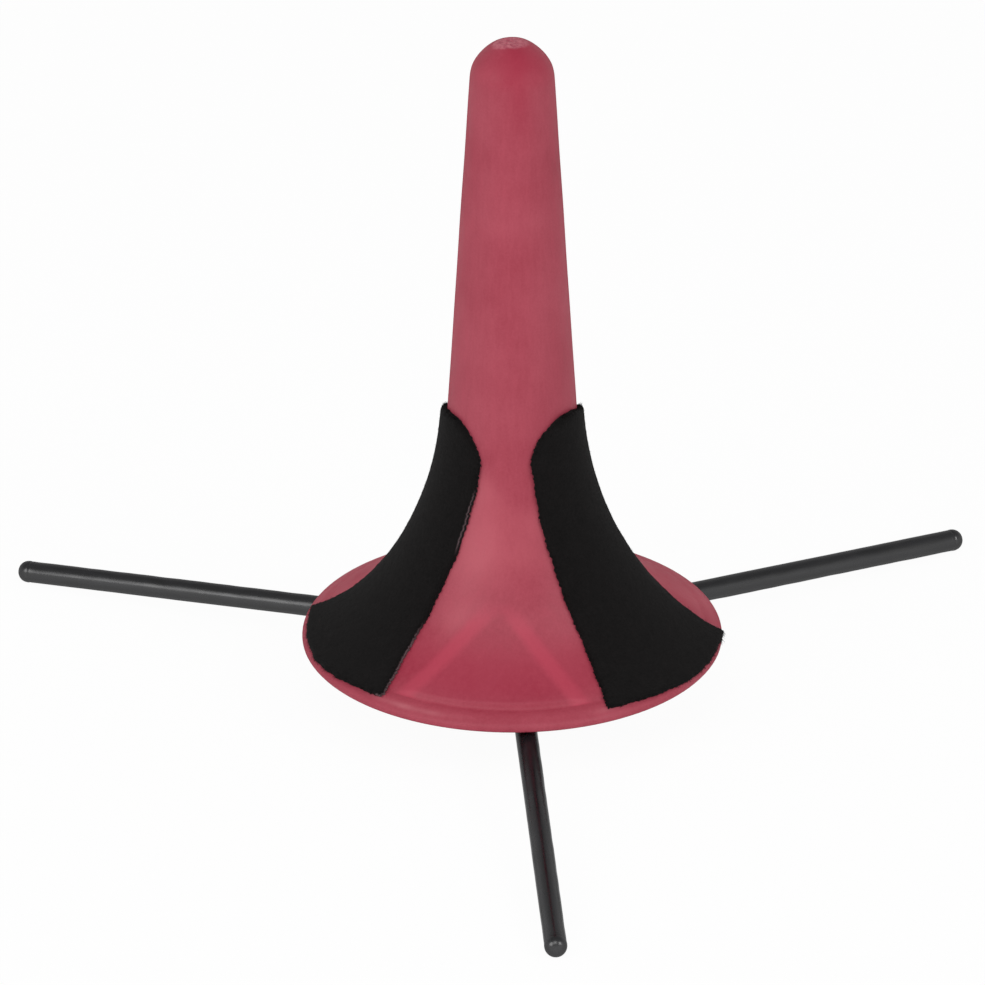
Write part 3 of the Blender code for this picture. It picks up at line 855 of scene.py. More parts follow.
@dataclass(frozen=True)
class ConeOutline:
    """The cone's outer line, as radii and heights above its lowest edge."""

    rim_radius: float = 37.5 * MM
    waist_radius: float = 11.40 * MM
    waist_height: float = 45.5 * MM
    shoulder_radius: float = 7.41 * MM
    shoulder_height: float = 108.7 * MM
    flat_radius: float = 2.35 * MM
    height: float = 115.35 * MM
    dome_fall: float = math.radians(19.0)
    dome_pull_top: float = 2.1 * MM
    dome_pull_shoulder: float = 3.2 * MM
    wall: float = 1.8 * MM
    lip_round: float = 1.4 * MM
    edge_round: float = 0.3 * MM
    end_fall: float = math.radians(34.0)
    pull_waist: float = 35.8 * MM
    pull_lip: float = 2.4 * MM

    @property
    def shoulder(self) -> np.ndarray:
        """The shoulder's radius and height."""
        return np.array([self.shoulder_radius, self.shoulder_height])

    @property
    def waist(self) -> np.ndarray:
        """The waist's radius and height."""
        return np.array([self.waist_radius, self.waist_height])

    @property
    def down_taper(self) -> np.ndarray:
        """A step of one unit down the straight peg."""
        return (self.waist - self.shoulder) / np.hypot(*(self.waist - self.shoulder))

    def dome(self, count: int) -> np.ndarray:
        """A cubic curve from the flat top's edge that arrives at the shoulder along the peg.

        Args:
            count: number of points.

        Returns:
            Radii and heights above the lowest edge, from the top down.
        """
        start = np.array([self.flat_radius, self.height])
        leave = start + self.dome_pull_top * np.array([math.cos(self.dome_fall), -math.sin(self.dome_fall)])
        arrive = self.shoulder - self.dome_pull_shoulder * self.down_taper
        return cubic(start, leave, arrive, self.shoulder, count)

    def taper(self, count: int) -> np.ndarray:
        """A straight line from the shoulder to the waist."""
        return np.linspace(self.shoulder, self.waist, count)

    def flare(self, count: int) -> np.ndarray:
        """A cubic curve that leaves the waist along the peg and meets the lip at its fall.

        Args:
            count: number of points.

        Returns:
            Radii and heights above the lowest edge, from the top down.
        """
        end = np.array(
            [
                self.rim_radius - self.lip_round * (1.0 - math.sin(self.end_fall)),
                self.edge_round + self.lip_round * math.cos(self.end_fall),
            ]
        )
        leave = self.waist + self.pull_waist * self.down_taper
        arrive = end - self.pull_lip * np.array([math.cos(self.end_fall), -math.sin(self.end_fall)])
        return cubic(self.waist, leave, arrive, end, count)

    def lip(self, count: int) -> np.ndarray:
        """A circle's arc from the flare's end to the rim's widest edge.

        Args:
            count: number of points.

        Returns:
            Radii and heights above the lowest edge, from the top down.
        """
        falls = np.linspace(self.end_fall, math.pi / 2.0, count)
        radii = self.rim_radius - self.lip_round * (1.0 - np.sin(falls))
        return np.column_stack([radii, self.edge_round + self.lip_round * np.cos(falls)])


class Meridian:
    """The cone's outer line as places along its own length, counted up from the rim's widest edge."""

    def __init__(self, outline: ConeOutline) -> None:
        """Samples the outline closely and adds up its steps.

        Args:
            outline: the cone's outer line.
        """
        parts = [outline.dome(count=120), outline.taper(count=160), outline.flare(count=400), outline.lip(count=40)]
        down = np.vstack([parts[0], *(part[1:] for part in parts[1:])])
        along = np.gradient(down, axis=0)
        normals = np.column_stack([-along[:, 1], along[:, 0]])
        normals /= np.linalg.norm(normals, axis=1)[:, None]
        normals[0] = (0.0, 1.0)
        self.points, self.normals = down[::-1], normals[::-1]
        steps = np.linalg.norm(np.diff(self.points, axis=0), axis=1)
        self.lengths = np.concatenate([[0.0], np.cumsum(steps)])

    @property
    def top(self) -> float:
        """The whole length up to the flat top's edge."""
        return float(self.lengths[-1])

    def at(self, lengths: np.ndarray, lift: np.ndarray | float = 0.0) -> tuple[np.ndarray, np.ndarray]:
        """Radii and heights above the lowest edge at these lengths, moved out along the normal by lift.

        Args:
            lengths: lengths up from the rim's edge, in metres.
            lift: how far out along the normal, in metres.

        Returns:
            The radii, and the heights.
        """
        radius, height = (np.interp(lengths, self.lengths, self.points[:, i]) for i in (0, 1))
        outward, upward = (np.interp(lengths, self.lengths, self.normals[:, i]) for i in (0, 1))
        return radius + lift * outward, height + lift * upward

    def length_at(self, height: float) -> float:
        """The length up from the rim's edge at a height."""
        return float(np.interp(height, self.points[:, 1], self.lengths))


# The cone


@dataclass(frozen=True)
class ConeSeat:
    """Where the cone stands: its axis behind the origin, and its lowest edge above the floor."""

    axis_y: float
    rim_z: float

    def around(self, radii: np.ndarray, heights: np.ndarray, angles: np.ndarray) -> np.ndarray:
        """Points of the row frame: sine and cosine of the angle times the radius, set on the cone's axis.

        Args:
            radii: distances from the axis, in metres.
            heights: heights above the cone's lowest edge.
            angles: angles from the front, one for each radius or for each column.

        Returns:
            The points, with x, y and z last.
        """
        radii, heights = radii + 0 * angles, heights + 0 * angles
        return np.stack(
            [radii * np.sin(angles), self.axis_y - radii * np.cos(angles), heights + self.rim_z], axis=-1
        )


@dataclass(frozen=True)
class ShellMarks:
    """Where the shell's colour changes: lengths up the flare from the rim's edge, angles from the front, shares.

    The mark low on the flare is painted shade, a deeper red, and above it lies a greyish painted sheen, also at
    its back and in a patch on its left. A pale painted highlight runs on the lip, each side an angle and a width
    round it, and painted shade gives a deeper red under the gate.
    """

    left_turn: float = math.radians(34.0)
    # Painted shade low on the flare.
    low_top: float = 21.0 * MM
    low_fade: float = 9.0 * MM
    low_foot: float = 9.0 * MM
    low_foot_fade: float = 6.0 * MM
    low_loss: float = 0.9
    # Painted sheen higher up the flare, in a patch on its left and at its back.
    sheen_top: float = 43.8 * MM
    sheen_top_left: float = 8.0 * MM
    sheen_top_fade: float = 4.5 * MM
    sheen_top_fade_left: float = 4.0 * MM
    sheen_foot: float = 24.5 * MM
    sheen_foot_left: float = 1.5 * MM
    sheen_foot_fade: float = 10.5 * MM
    sheen_right_share: float = 0.62
    patch_place: float = 20.8 * MM
    patch_length: float = 4.2 * MM
    patch_angle: float = math.radians(-31.0)
    patch_turn: float = math.radians(8.0)
    patch_share: float = 0.75
    rear_angle: float = math.radians(80.0)
    rear_turn: float = math.radians(25.0)
    rear_top: float = 24.0 * MM
    rear_fade: float = 8.0 * MM
    rear_foot_fade: float = 3.0 * MM
    uneven_share: float = 0.12
    uneven_least: float = 0.35
    uneven_radius: float = 24.0 * MM
    uneven_waves: Span = (7.0 * MM, 22.0 * MM)
    # Painted highlight on the lip.
    streak_place: float = 2.1 * MM
    streak_width: float = 0.55 * MM
    streak_left: Span = (math.radians(-35.0), math.radians(13.0))
    streak_right: Span = (math.radians(24.0), math.radians(6.0))
    streak_right_share: float = 0.5
    streak_beats: float = 37.0
    streak_beat_share: float = 0.2
    # Painted shade under the gate.
    dome_shade_angle: float = math.radians(6.0)
    dome_shade_turn: float = math.radians(52.0)
    dome_shade_reach: float = 8.0 * MM
    dome_shade_fade: float = 6.0 * MM
    trail_turn: float = math.radians(17.0)
    trail_reach: float = 18.0 * MM
    trail_fade: float = 12.0 * MM
    trail_share: float = 0.6
    dull_low: float = 0.5
    dull_dome_shade: float = 0.6

    def left(self, turn: np.ndarray) -> np.ndarray:
        """How far a place is to the left: a smooth step from the front round to the left turn."""
        return smooth_step(-turn / self.left_turn)

    def low(self, lengths: np.ndarray) -> np.ndarray:
        """Painted shade, a deeper red low on the flare: a smooth step down from its top, less another near its
        foot.
        """
        foot = smooth_step((self.low_foot - lengths) / self.low_foot_fade)
        return smooth_step((self.low_top - lengths) / self.low_fade) * (1.0 - self.low_loss * foot)

    def rear(self, lengths: np.ndarray, turn: np.ndarray) -> np.ndarray:
        """The painted sheen low at the back: a smooth step round to it, times steps at its top and its foot.

        Args:
            lengths: places up the flare, in metres.
            turn: angles from the front, from -pi to pi.

        Returns:
            The mark, from 0 to 1.
        """
        back = smooth_step((np.abs(turn) - self.rear_angle) / self.rear_turn)
        top = smooth_step((self.rear_top - lengths) / self.rear_fade)
        return back * top * smooth_step(lengths / self.rear_foot_fade)

    def bloom_and_sheen(self, lengths: np.ndarray, turn: np.ndarray) -> np.ndarray:
        """The greyish painted sheen: a band up the flare, the patch, and what lies at the back.

        The band is a smooth step up the flare times one down it. It is stronger on the left, where it also
        reaches further up and down. The patch is a bell curve each way, and an uneven plane breaks the whole up.

        Args:
            lengths: places up the flare, in metres.
            turn: angles from the front, from -pi to pi.

        Returns:
            The mark, from 0 to 1.
        """
        left, rear = self.left(turn), self.rear(lengths, turn)
        top = self.sheen_top + self.sheen_top_left * left
        upper = smooth_step((top - lengths) / (self.sheen_top_fade + self.sheen_top_fade_left * left))
        lower = smooth_step((lengths - self.sheen_foot + self.sheen_foot_left * left) / self.sheen_foot_fade)
        strength = self.sheen_right_share + (1.0 - self.sheen_right_share) * left
        patch = bell(lengths, self.patch_place, self.patch_length) * bell(turn, self.patch_angle, self.patch_turn)
        whole = strength * upper * lower * (1.0 - rear) + self.patch_share * patch + rear
        across = turn * self.uneven_radius + 0 * lengths
        uneven = self.uneven_share * rough_plane(lengths + 0 * turn, across, *self.uneven_waves, 9)
        return np.clip(whole * (1.0 + uneven) + self.uneven_least * uneven, 0.0, 1.0)

    def lip_highlight(self, lengths: np.ndarray, angles: np.ndarray) -> np.ndarray:
        """The pale painted highlight on the lip: bell curves along the flare and round it, with a slight beat.

        Args:
            lengths: places up the flare, in metres.
            angles: angles from the front.

        Returns:
            The mark, from 0 to 1.
        """
        along = bell(lengths, self.streak_place, self.streak_width)
        around = bell(angles, *self.streak_left) + self.streak_right_share * bell(angles, *self.streak_right)
        beat = 1.0 - self.streak_beat_share + self.streak_beat_share * np.sin(angles * self.streak_beats)
        return along * around * beat

    def dome_shade(self, drops: np.ndarray, turn: np.ndarray) -> np.ndarray:
        """Painted shade, a deeper red under the gate: a bell curve round the cone that fades downwards, with a
        longer trail.

        Args:
            drops: how far places are below the flat top, in metres.
            turn: angles from the front, from -pi to pi.

        Returns:
            The mark, from 0 to 1.
        """
        high = smooth_step((self.dome_shade_reach - drops) / self.dome_shade_fade)
        trail = self.trail_share * bell(turn, self.dome_shade_angle, self.trail_turn)
        below = trail * smooth_step((self.trail_reach - drops) / self.trail_fade)
        return np.maximum(bell(turn, self.dome_shade_angle, self.dome_shade_turn) * high, below)

    def every(self, lengths: np.ndarray, drops: np.ndarray, angles: np.ndarray) -> dict[str, np.ndarray]:
        """Every mark by its name; the dull one is where the painted shade takes some of the gloss.

        Args:
            lengths: places up the flare, in metres.
            drops: how far places are below the flat top, in metres.
            angles: angles from the front.

        Returns:
            The marks, one value for each place.
        """
        turn = wrapped(angles)
        low, dome_shade = self.low(lengths) + 0 * turn, self.dome_shade(drops, turn)
        return {
            "lip_highlight": self.lip_highlight(lengths, angles),
            "dome_shade": dome_shade,
            "low": low,
            "bloom_and_sheen": self.bloom_and_sheen(lengths, turn),
            "dull": np.maximum(self.dull_low * low, self.dull_dome_shade * dome_shade),
        }


@dataclass
class ConeShell:
    """The hollow red shell: dome, peg, trumpet flare, rolled lip and the raised bare plaque on its front.

    The flank's and face's fades are shares of the flank's width, and their heads shares of the plaque's height.
    """

    outline: ConeOutline
    meridian: Meridian
    seat: ConeSeat
    plaque_angle: float = math.radians(-10.7)
    plaque_foot: float = 4.5 * MM
    plaque_top: float = 25.5 * MM
    plaque_top_half: float = 2.6 * MM
    plaque_foot_half: float = 18.8 * MM
    plaque_relief: float = 0.45 * MM
    flank_width: float = 4.5 * MM
    flank_fade: float = 0.45
    flank_head: float = 3.5
    face_start: float = 0.7
    face_fade: float = 0.5
    face_head: Span = (0.25, 0.5)
    foot_draft: float = 1.2 * MM
    top_draft: float = 9.0 * MM
    valley_place: float = 4.4 * MM
    valley_depth: float = 0.16 * MM
    valley_width: float = 0.5 * MM
    bead_place: float = 2.9 * MM
    bead_height: float = 0.12 * MM
    bead_width: float = 0.9 * MM
    ripple_waves: Span = (31 * MM, 19 * MM)
    ripple_height: float = 0.02 * MM
    twist_height: float = 0.012 * MM
    twist_length: float = 9 * MM
    edge_fade: float = 0.6 * MM
    gate_radius: float = 2.5 * MM
    gate_stretch: float = 1.4
    gate_left: float = 0.3 * MM
    gate_forward: float = 0.25 * MM
    gate_fade: float = 0.5 * MM
    gate_depth: float = 4.5 * MM
    gate_uneven: float = 0.08 * MM
    crown_swell: float = 0.18 * MM
    crown_fade: float = 3.0 * MM
    gate_waves: Span = (0.9 * MM, 3.0 * MM)
    scar_waves: Span = (0.5 * MM, 1.6 * MM)
    scar_edge: float = 0.8 * MM
    scar_middle: float = 0.4 * MM
    scar_height: float = 0.05 * MM
    scar_lift: float = 2.0
    sector_half: float = math.radians(37.0)
    sector_columns: int = 165
    other_columns: int = 98
    fine_millimetres: Span = (0.26, 20.0)
    flare_rows: int = 42
    peg_rows: int = 30
    dome_rows: int = 30
    crown_rings: int = 12
    inner_foot: float = 2.4 * MM
    inner_rows: int = 60
    marks: ShellMarks = ShellMarks()

    def columns(self) -> np.ndarray:
        """Angles round the axis, close together across the plaque and wider apart elsewhere.

        Returns:
            The angles in radians, counted from the front.
        """
        close = np.linspace(-self.sector_half, self.sector_half, self.sector_columns)
        wide = np.linspace(self.sector_half, 2.0 * math.pi - self.sector_half, self.other_columns)[1:-1]
        return self.plaque_angle + np.concatenate([close, wide])

    def outer_lengths(self) -> np.ndarray:
        """Rows from the flat top's edge down to the rim's edge, closest at the dome and on the lower flare.

        Returns:
            Lengths up from the rim's edge, in metres, the longest first.
        """
        dome_start = self.meridian.length_at(self.outline.shoulder_height)
        waist = self.meridian.length_at(self.outline.waist_height)
        step, fine_top = self.fine_millimetres
        parts = [
            np.arange(0.0, fine_top, step) * MM,
            np.linspace(fine_top * MM, waist, self.flare_rows),
            np.linspace(waist, dome_start, self.peg_rows)[1:],
            np.linspace(dome_start, self.meridian.top, self.dome_rows)[1:],
        ]
        return np.concatenate(parts)[::-1]

    def plaque(self, lengths: np.ndarray, angles: np.ndarray) -> tuple[np.ndarray, dict[str, np.ndarray]]:
        """How far the plaque stands up at each place, with its marks.

        The plaque is a trapezium in the flare's own surface that runs out towards its top. Its height is the
        relief times a smooth step up each of its edges. The flank mark, a painted highlight, covers the side
        steps, and the face mark, painted shade, what is between them, fading towards the top.

        Args:
            lengths: places up the flare, in metres.
            angles: angles from the front.

        Returns:
            The lift in metres, and the flank and face marks.
        """
        base, _ = self.meridian.at(lengths)
        top = self.plaque_top
        share = np.clip((top - lengths) / (top - self.plaque_foot), 0.0, 1.0)
        half = self.plaque_top_half + (self.plaque_foot_half - self.plaque_top_half) * share
        inside = half - np.abs(wrapped(angles - self.plaque_angle)) * base
        foot = smooth_step((lengths - self.plaque_foot) / self.foot_draft)
        head = smooth_step((top - lengths) / self.top_draft)
        raised = self.plaque_relief * smooth_step(inside / self.flank_width) * foot * head
        # The flank mark is a painted highlight on the side steps, and the face mark painted shade between them.
        within = smooth_step((inside - self.face_start * self.flank_width) / (self.face_fade * self.flank_width))
        flank = smooth_step(inside / (self.flank_fade * self.flank_width)) * (1.0 - within)
        flank = flank * smooth_step(self.flank_head * share) * (lengths > self.valley_place)
        face = within * smooth_step((share - self.face_head[0]) / self.face_head[1])
        return raised, {"flank": flank, "face": face * foot}

    def lip_relief(self, lengths: np.ndarray) -> np.ndarray:
        """A shallow valley just inside the lip and a low bead on it, both bell curves along the flare."""
        valley = bell(lengths, self.valley_place, self.valley_width)
        return self.bead_height * bell(lengths, self.bead_place, self.bead_width) - self.valley_depth * valley

    def ripple(self, lengths: np.ndarray, angles: np.ndarray) -> np.ndarray:
        """The moulding's slight unevenness: long waves along the cone times slow ones round it, plus a twist.

        Args:
            lengths: places up from the rim's edge, in metres.
            angles: angles from the front.

        Returns:
            The lift in metres.
        """
        slow = self.ripple_height * wander(lengths, self.ripple_waves, 5) * np.sin(2.0 * angles + 1.1)
        return slow + self.twist_height * np.sin(5.0 * angles + lengths / self.twist_length)

    def outer_points(self, angles: np.ndarray) -> tuple[np.ndarray, dict[str, np.ndarray]]:
        """The outer side with its relief, from the flat top's edge to the rim, and its marks.

        Args:
            angles: angles from the front.

        Returns:
            Rows by columns of points, and the marks by name.
        """
        lengths = self.outer_lengths()[:, None]
        raised, marks = self.plaque(lengths, angles[None, :])
        lift = raised + self.lip_relief(lengths) + self.ripple(lengths, angles[None, :])
        lift *= smooth_step(lengths / self.edge_fade)
        dome = self.meridian.length_at(self.outline.shoulder_height)
        lift += self.crown_swell * smooth_step((lengths - dome) / self.crown_fade)
        radii, heights = self.meridian.at(lengths, lift)
        marks |= self.marks.every(lengths, self.outline.height - heights, angles[None, :])
        return self.seat.around(radii, heights, angles), marks

    def crown_points(self, angles: np.ndarray) -> np.ndarray:
        """The flat top from its centre outwards, roughened where the moulding's gate was cut off.

        Args:
            angles: angles from the front.

        Returns:
            Rings by columns of points.
        """
        radii = np.linspace(0.0, self.outline.flat_radius, self.crown_rings)[:-1][:, None]
        scar = rough_plane(radii * np.sin(angles), radii * np.cos(angles), *self.scar_waves, 3)
        fade = smooth_step((self.outline.flat_radius - radii) / self.scar_edge)
        fade = fade * smooth_step(radii / self.scar_middle)
        heights = self.outline.height + self.crown_swell + self.scar_height * (scar + self.scar_lift) * fade
        return self.seat.around(radii, heights, angles)

    def gate(self, points: np.ndarray) -> np.ndarray:
        """The mark of the cut-off gate: an ellipse on the crown, longer across, with an uneven edge.

        Args:
            points: points by 3, in the row frame.

        Returns:
            The mark, from 0 to 1.
        """
        across, deep = points[:, 0] + self.gate_left, points[:, 1] - self.seat.axis_y + self.gate_forward
        reach = np.hypot(across / self.gate_stretch, deep)
        high = points[:, 2] > self.seat.rim_z + self.outline.shoulder_height + self.gate_depth
        edge = self.gate_uneven * rough_plane(points[:, 0], points[:, 1], *self.gate_waves, 4)
        return smooth_step((self.gate_radius + edge - reach) / self.gate_fade) * high

    def inner_points(self, angles: np.ndarray) -> np.ndarray:
        """The rim's underside and the inner side, one wall's thickness in along the normals, up to the ceiling.

        Args:
            angles: angles from the front.

        Returns:
            Rows by columns of points.
        """
        lengths = np.linspace(self.inner_foot, self.meridian.top, self.inner_rows)
        radii, heights = self.meridian.at(lengths, -self.outline.wall)
        kept = heights > self.outline.edge_round
        inner = np.column_stack([radii[kept], heights[kept]])
        foot = [
            (self.outline.rim_radius - 0.02 * MM, self.outline.edge_round * 0.55),
            (self.outline.rim_radius - 0.12 * MM, self.outline.edge_round * 0.15),
            (self.outline.rim_radius - self.outline.edge_round, 0.0),
            (inner[0, 0] + 0.2 * MM, 0.0),
            (inner[0, 0], 0.1 * MM),
        ]
        ceiling = [(0.0, self.outline.height - self.outline.wall)]
        line = np.vstack([foot, inner, ceiling])
        return self.seat.around(line[:, :1], line[:, 1:], angles[None, :])

    def build(self, plastic: bpy.types.Material) -> bpy.types.Object:
        """Builds the shell as one closed surface of angle and length, and puts it on the cone's body.

        Args:
            plastic: the finish.

        Returns:
            The shell.
        """
        angles = self.columns()
        outer, outer_marks = self.outer_points(angles)
        crown = self.crown_points(angles[None, :])
        inner = self.inner_points(angles)
        grid = np.concatenate([crown, outer, inner])
        points = grid.reshape(-1, 3)
        marks = {"gate": self.gate(points)}
        for name, values in outer_marks.items():
            whole = np.zeros(grid.shape[:2])
            whole[len(crown) : len(crown) + len(outer)] = values
            marks[name] = whole.ravel()
        shell = new_piece("cone_shell", points, grid_faces(*grid.shape[:2], closed=True), marks)
        seat_piece(shell, plastic, "cone", ("cone_body",))
        return shell


@dataclass
class FeltPads:
    """Three felt pads, scissor-cut and glued on the flare, with soft rolled edges and a short nap.

    Lengths are in metres, apart from the fibres' lengths and the rim's insets, which are in millimetres. A pair
    is a start and an end, or for the pale edge's inset a place and a width, and for the rim's tilt a mean and a
    spread.
    """

    meridian: Meridian
    seat: ConeSeat
    gap: float = 0.06 * MM
    bridge_place: float = 26.0 * MM
    thickness: float = 1.14 * MM
    top_height: float = 46.8 * MM
    foot_inset: float = 2.1 * MM
    foot_half: float = 19.0 * MM
    neck_half: float = 9.7 * MM
    widening: float = 4.1
    corner_width: float = 6.8 * MM
    corner_height: float = 7.8 * MM
    corner_fullness: float = 1.6
    edge_roll: float = 0.75 * MM
    edge_share: float = 0.30
    bridge_length: float = 13 * MM
    bridge_edge: float = 3.5 * MM
    foot_waver: float = 0.11 * MM
    foot_waves: tuple[float, ...] = (9 * MM, 4 * MM, 1.3 * MM, 0.9 * MM, 0.6 * MM)
    top_waver: float = 0.10 * MM
    top_waves: tuple[float, ...] = (5 * MM, 1.1 * MM, 0.6 * MM)
    side_waver: float = 0.16 * MM
    first_side_waves: tuple[float, ...] = (14 * MM, 5 * MM, 1.4 * MM, 0.9 * MM, 0.6 * MM)
    second_side_waves: tuple[float, ...] = (12 * MM, 6 * MM, 1.2 * MM, 0.8 * MM, 0.55 * MM)
    bow_width: float = 8.0 * MM
    drop_start: float = 18.0 * MM
    drop_fade: float = 14.0 * MM
    trim_least: float = 0.1
    trim_slope: float = 1.2
    swell_place: float = 0.70
    swell_width: float = 0.27
    swell_fade: float = 0.12
    # Where the left pad's front edge is paler.
    pale_edge_margin: float = 1.0 * MM
    pale_edge_above: Span = (31.0 * MM, 44.3 * MM)
    pale_edge_above_fades: Span = (3.0 * MM, 2.5 * MM)
    pale_edge_above_share: float = 0.52
    pale_edge_inset: Span = (0.12 * MM, 0.07 * MM)
    pale_edge_below: float = 19.0 * MM
    pale_edge_below_fade: float = 6.0 * MM
    pale_edge_below_share: float = 0.8
    pale_edge_below_width: float = 0.04 * MM
    columns: int = 111
    rows: int = 210
    unevenness: float = 0.022 * MM
    rim_fibres: int = 4200
    face_fibres: int = 2600
    fibre_radius: float = 0.02 * MM
    fibre_sides: int = 3
    fibre_places: tuple[float, ...] = (0.0, 0.08, 0.4, 0.75, 1.0)
    fibre_taper: tuple[float, ...] = (0.0, 1.0, 0.85, 0.6, 0.0)
    fibre_lengths: Span = (0.2, 0.5)
    fibre_bend: float = 0.3
    rim_insets: Span = (0.05, 0.30)
    rim_heights: Span = (0.15, 0.75)
    rim_lean: float = 0.7
    rim_tilt: Span = (0.1, 0.3)
    face_sink: float = 0.03 * MM
    face_tilts: Span = (0.05, 0.35)

    def ends(self, place: FeltPlace) -> Span:
        """The lengths along the flare at which a pad begins and ends."""
        top = self.meridian.length_at(self.top_height - place.value.top_cut)
        return self.foot_inset + place.value.foot_cut, top

    def half_width(self, lengths: np.ndarray, ends: Span) -> np.ndarray:
        """Half a pad's width: the neck's, plus a power of the share of the way down, less a cut corner.

        The corner is a superellipse: what is left of its width, to the fullness, and the rise up it, to the
        fullness, add up to 1.

        Args:
            lengths: places up the flare, in metres.
            ends: the lengths at which the pad begins and ends.

        Returns:
            Half widths in metres.
        """
        foot, top = ends
        share = np.clip(1.0 - (lengths - foot) / (top - foot), 0.0, 1.0)
        widths = self.neck_half + (self.foot_half - self.neck_half) * share**self.widening
        rise = np.clip((lengths - top + self.corner_height) / self.corner_height, 0.0, 1.0)
        kept = (1.0 - rise**self.corner_fullness) ** (1.0 / self.corner_fullness)
        return widths - self.corner_width * (1.0 - kept)

    def cut(self, across: np.ndarray, along: np.ndarray, place: FeltPlace, seed: int) -> tuple[np.ndarray, ...]:
        """The flat cut: sideways and lengthwise places for shares -1..1 across and 0..1 along.

        The foot, top and sides are those of the pattern with the pad's own faults of cutting, plus a wavering of
        a tenth of a millimetre or so. The swell is a bell curve of the share of the way down, which ends at the
        foot.

        Args:
            across: shares of the half width, from -1 to 1.
            along: shares of the length, from 0 to 1.
            place: which pad.
            seed: picks the wavering.

        Returns:
            Sideways places and lengths up the flare, in metres.
        """
        ends, cut = self.ends(place), place.value
        reach = across * self.foot_half
        foot = ends[0] + self.foot_waver * wander(reach, self.foot_waves, seed)
        foot -= cut.foot_bow * bell(reach, cut.bow_place, self.bow_width)
        foot -= cut.foot_drop * smooth_step((place.front_side * reach + self.drop_start) / self.drop_fade)
        head = ends[1] + self.top_waver * wander(reach, self.top_waves, seed + 1)
        away = smooth_step(-self.trim_slope * place.front_side * across)
        head -= cut.trim * (self.trim_least + (1.0 - self.trim_least) * away)
        lengths = foot + along * (head - foot)
        sides = self.side_waver * np.where(
            across < 0,
            wander(lengths, self.first_side_waves, seed + 2),
            wander(lengths, self.second_side_waves, seed + 3),
        )
        share = (ends[1] - lengths) / (ends[1] - ends[0])
        swell = cut.swell * bell(share, self.swell_place, self.swell_width)
        swell = swell * smooth_step((1.0 - share) / self.swell_fade)
        sides = sides + swell * (across * place.front_side < 0)
        return across * (self.half_width(lengths, ends) + sides), lengths

    def edge_distance(self, sideways: np.ndarray, lengths: np.ndarray, rim: np.ndarray) -> np.ndarray:
        """Distance from each place to the nearest step of the cut's rim, in the flat, block by block.

        A place's distance to a step is the length of what is left of it beside the step, whose share of the way
        along is kept between 0 and 1.

        Args:
            sideways: sideways places.
            lengths: lengths up the flare.
            rim: the cut's outline, in the flat.

        Returns:
            Distances in metres.
        """
        steps = np.roll(rim, -1, axis=0) - rim
        squares = np.maximum((steps**2).sum(axis=1), NO_SQUARE)
        places = np.stack([sideways.ravel(), lengths.ravel()], axis=-1)
        blocks = []
        for block in np.array_split(places, BLOCKS):
            away = block[:, None, :] - rim
            share = np.clip((away * steps).sum(axis=2) / squares, 0.0, 1.0)
            blocks.append(np.linalg.norm(away - share[..., None] * steps, axis=2).min(axis=1))
        return np.concatenate(blocks).reshape(sideways.shape)

    def lay(self, flat: np.ndarray, place: FeltPlace) -> np.ndarray:
        """Turns (sideways, length, lift) places askew about the pad's middle, and bends them round the flare.

        Sideways over the cone's radius is the angle round it.

        Args:
            flat: places in the flat, with sideways, length and lift last.
            place: which pad.

        Returns:
            Points of the row frame.
        """
        middle = sum(self.ends(place)) / 2.0
        c, s = math.cos(place.askew), math.sin(place.askew)
        up, lift = flat[..., 1] - middle, flat[..., 2]
        sideways, lengths = flat[..., 0] * c + up * s, middle + up * c - flat[..., 0] * s
        base, _ = self.meridian.at(lengths)
        radii, heights = self.meridian.at(lengths, lift)
        turned = place.angle + sideways / base
        return self.seat.around(radii, heights, turned)

    def rise(self, edge_distance: np.ndarray) -> np.ndarray:
        """Share of the thickness at a distance from the cut: a quarter circle over the rolled edge."""
        roll = np.clip(edge_distance / self.edge_roll, 0.0, 1.0)
        return self.edge_share + (1.0 - self.edge_share) * np.sqrt(1.0 - (1.0 - roll) ** 2)

    def bridging(self, most: float, lengths: np.ndarray, edge_distance: np.ndarray) -> np.ndarray:
        """How far the stiff felt stands off the flare's hollow: a bell curve along it that ends at the edges."""
        edges = smooth_step(edge_distance / self.bridge_edge)
        return most * bell(lengths, self.bridge_place, self.bridge_length) * edges

    def pale_front_edge(
        self, sideways: np.ndarray, lengths: np.ndarray, distance: np.ndarray, place: FeltPlace
    ) -> np.ndarray:
        """The mark of the left pad's pale front edge: bell curves just inside the cut above, and at it below.

        Args:
            sideways: sideways places.
            lengths: places up the flare, in metres.
            distance: distances from the cut.
            place: which pad.

        Returns:
            The mark, from 0 to 1.
        """
        near = self.half_width(lengths, self.ends(place)) - self.pale_edge_margin
        front = (place is FeltPlace.LEFT) * (sideways > near)
        starting = smooth_step((lengths - self.pale_edge_above[0]) / self.pale_edge_above_fades[0])
        ending = smooth_step((self.pale_edge_above[1] - lengths) / self.pale_edge_above_fades[1])
        above = self.pale_edge_above_share * starting * ending * bell(distance, *self.pale_edge_inset)
        low = self.pale_edge_below_share * smooth_step((self.pale_edge_below - lengths) / self.pale_edge_below_fade)
        return front * np.maximum(above, low * bell(distance, 0.0, self.pale_edge_below_width))

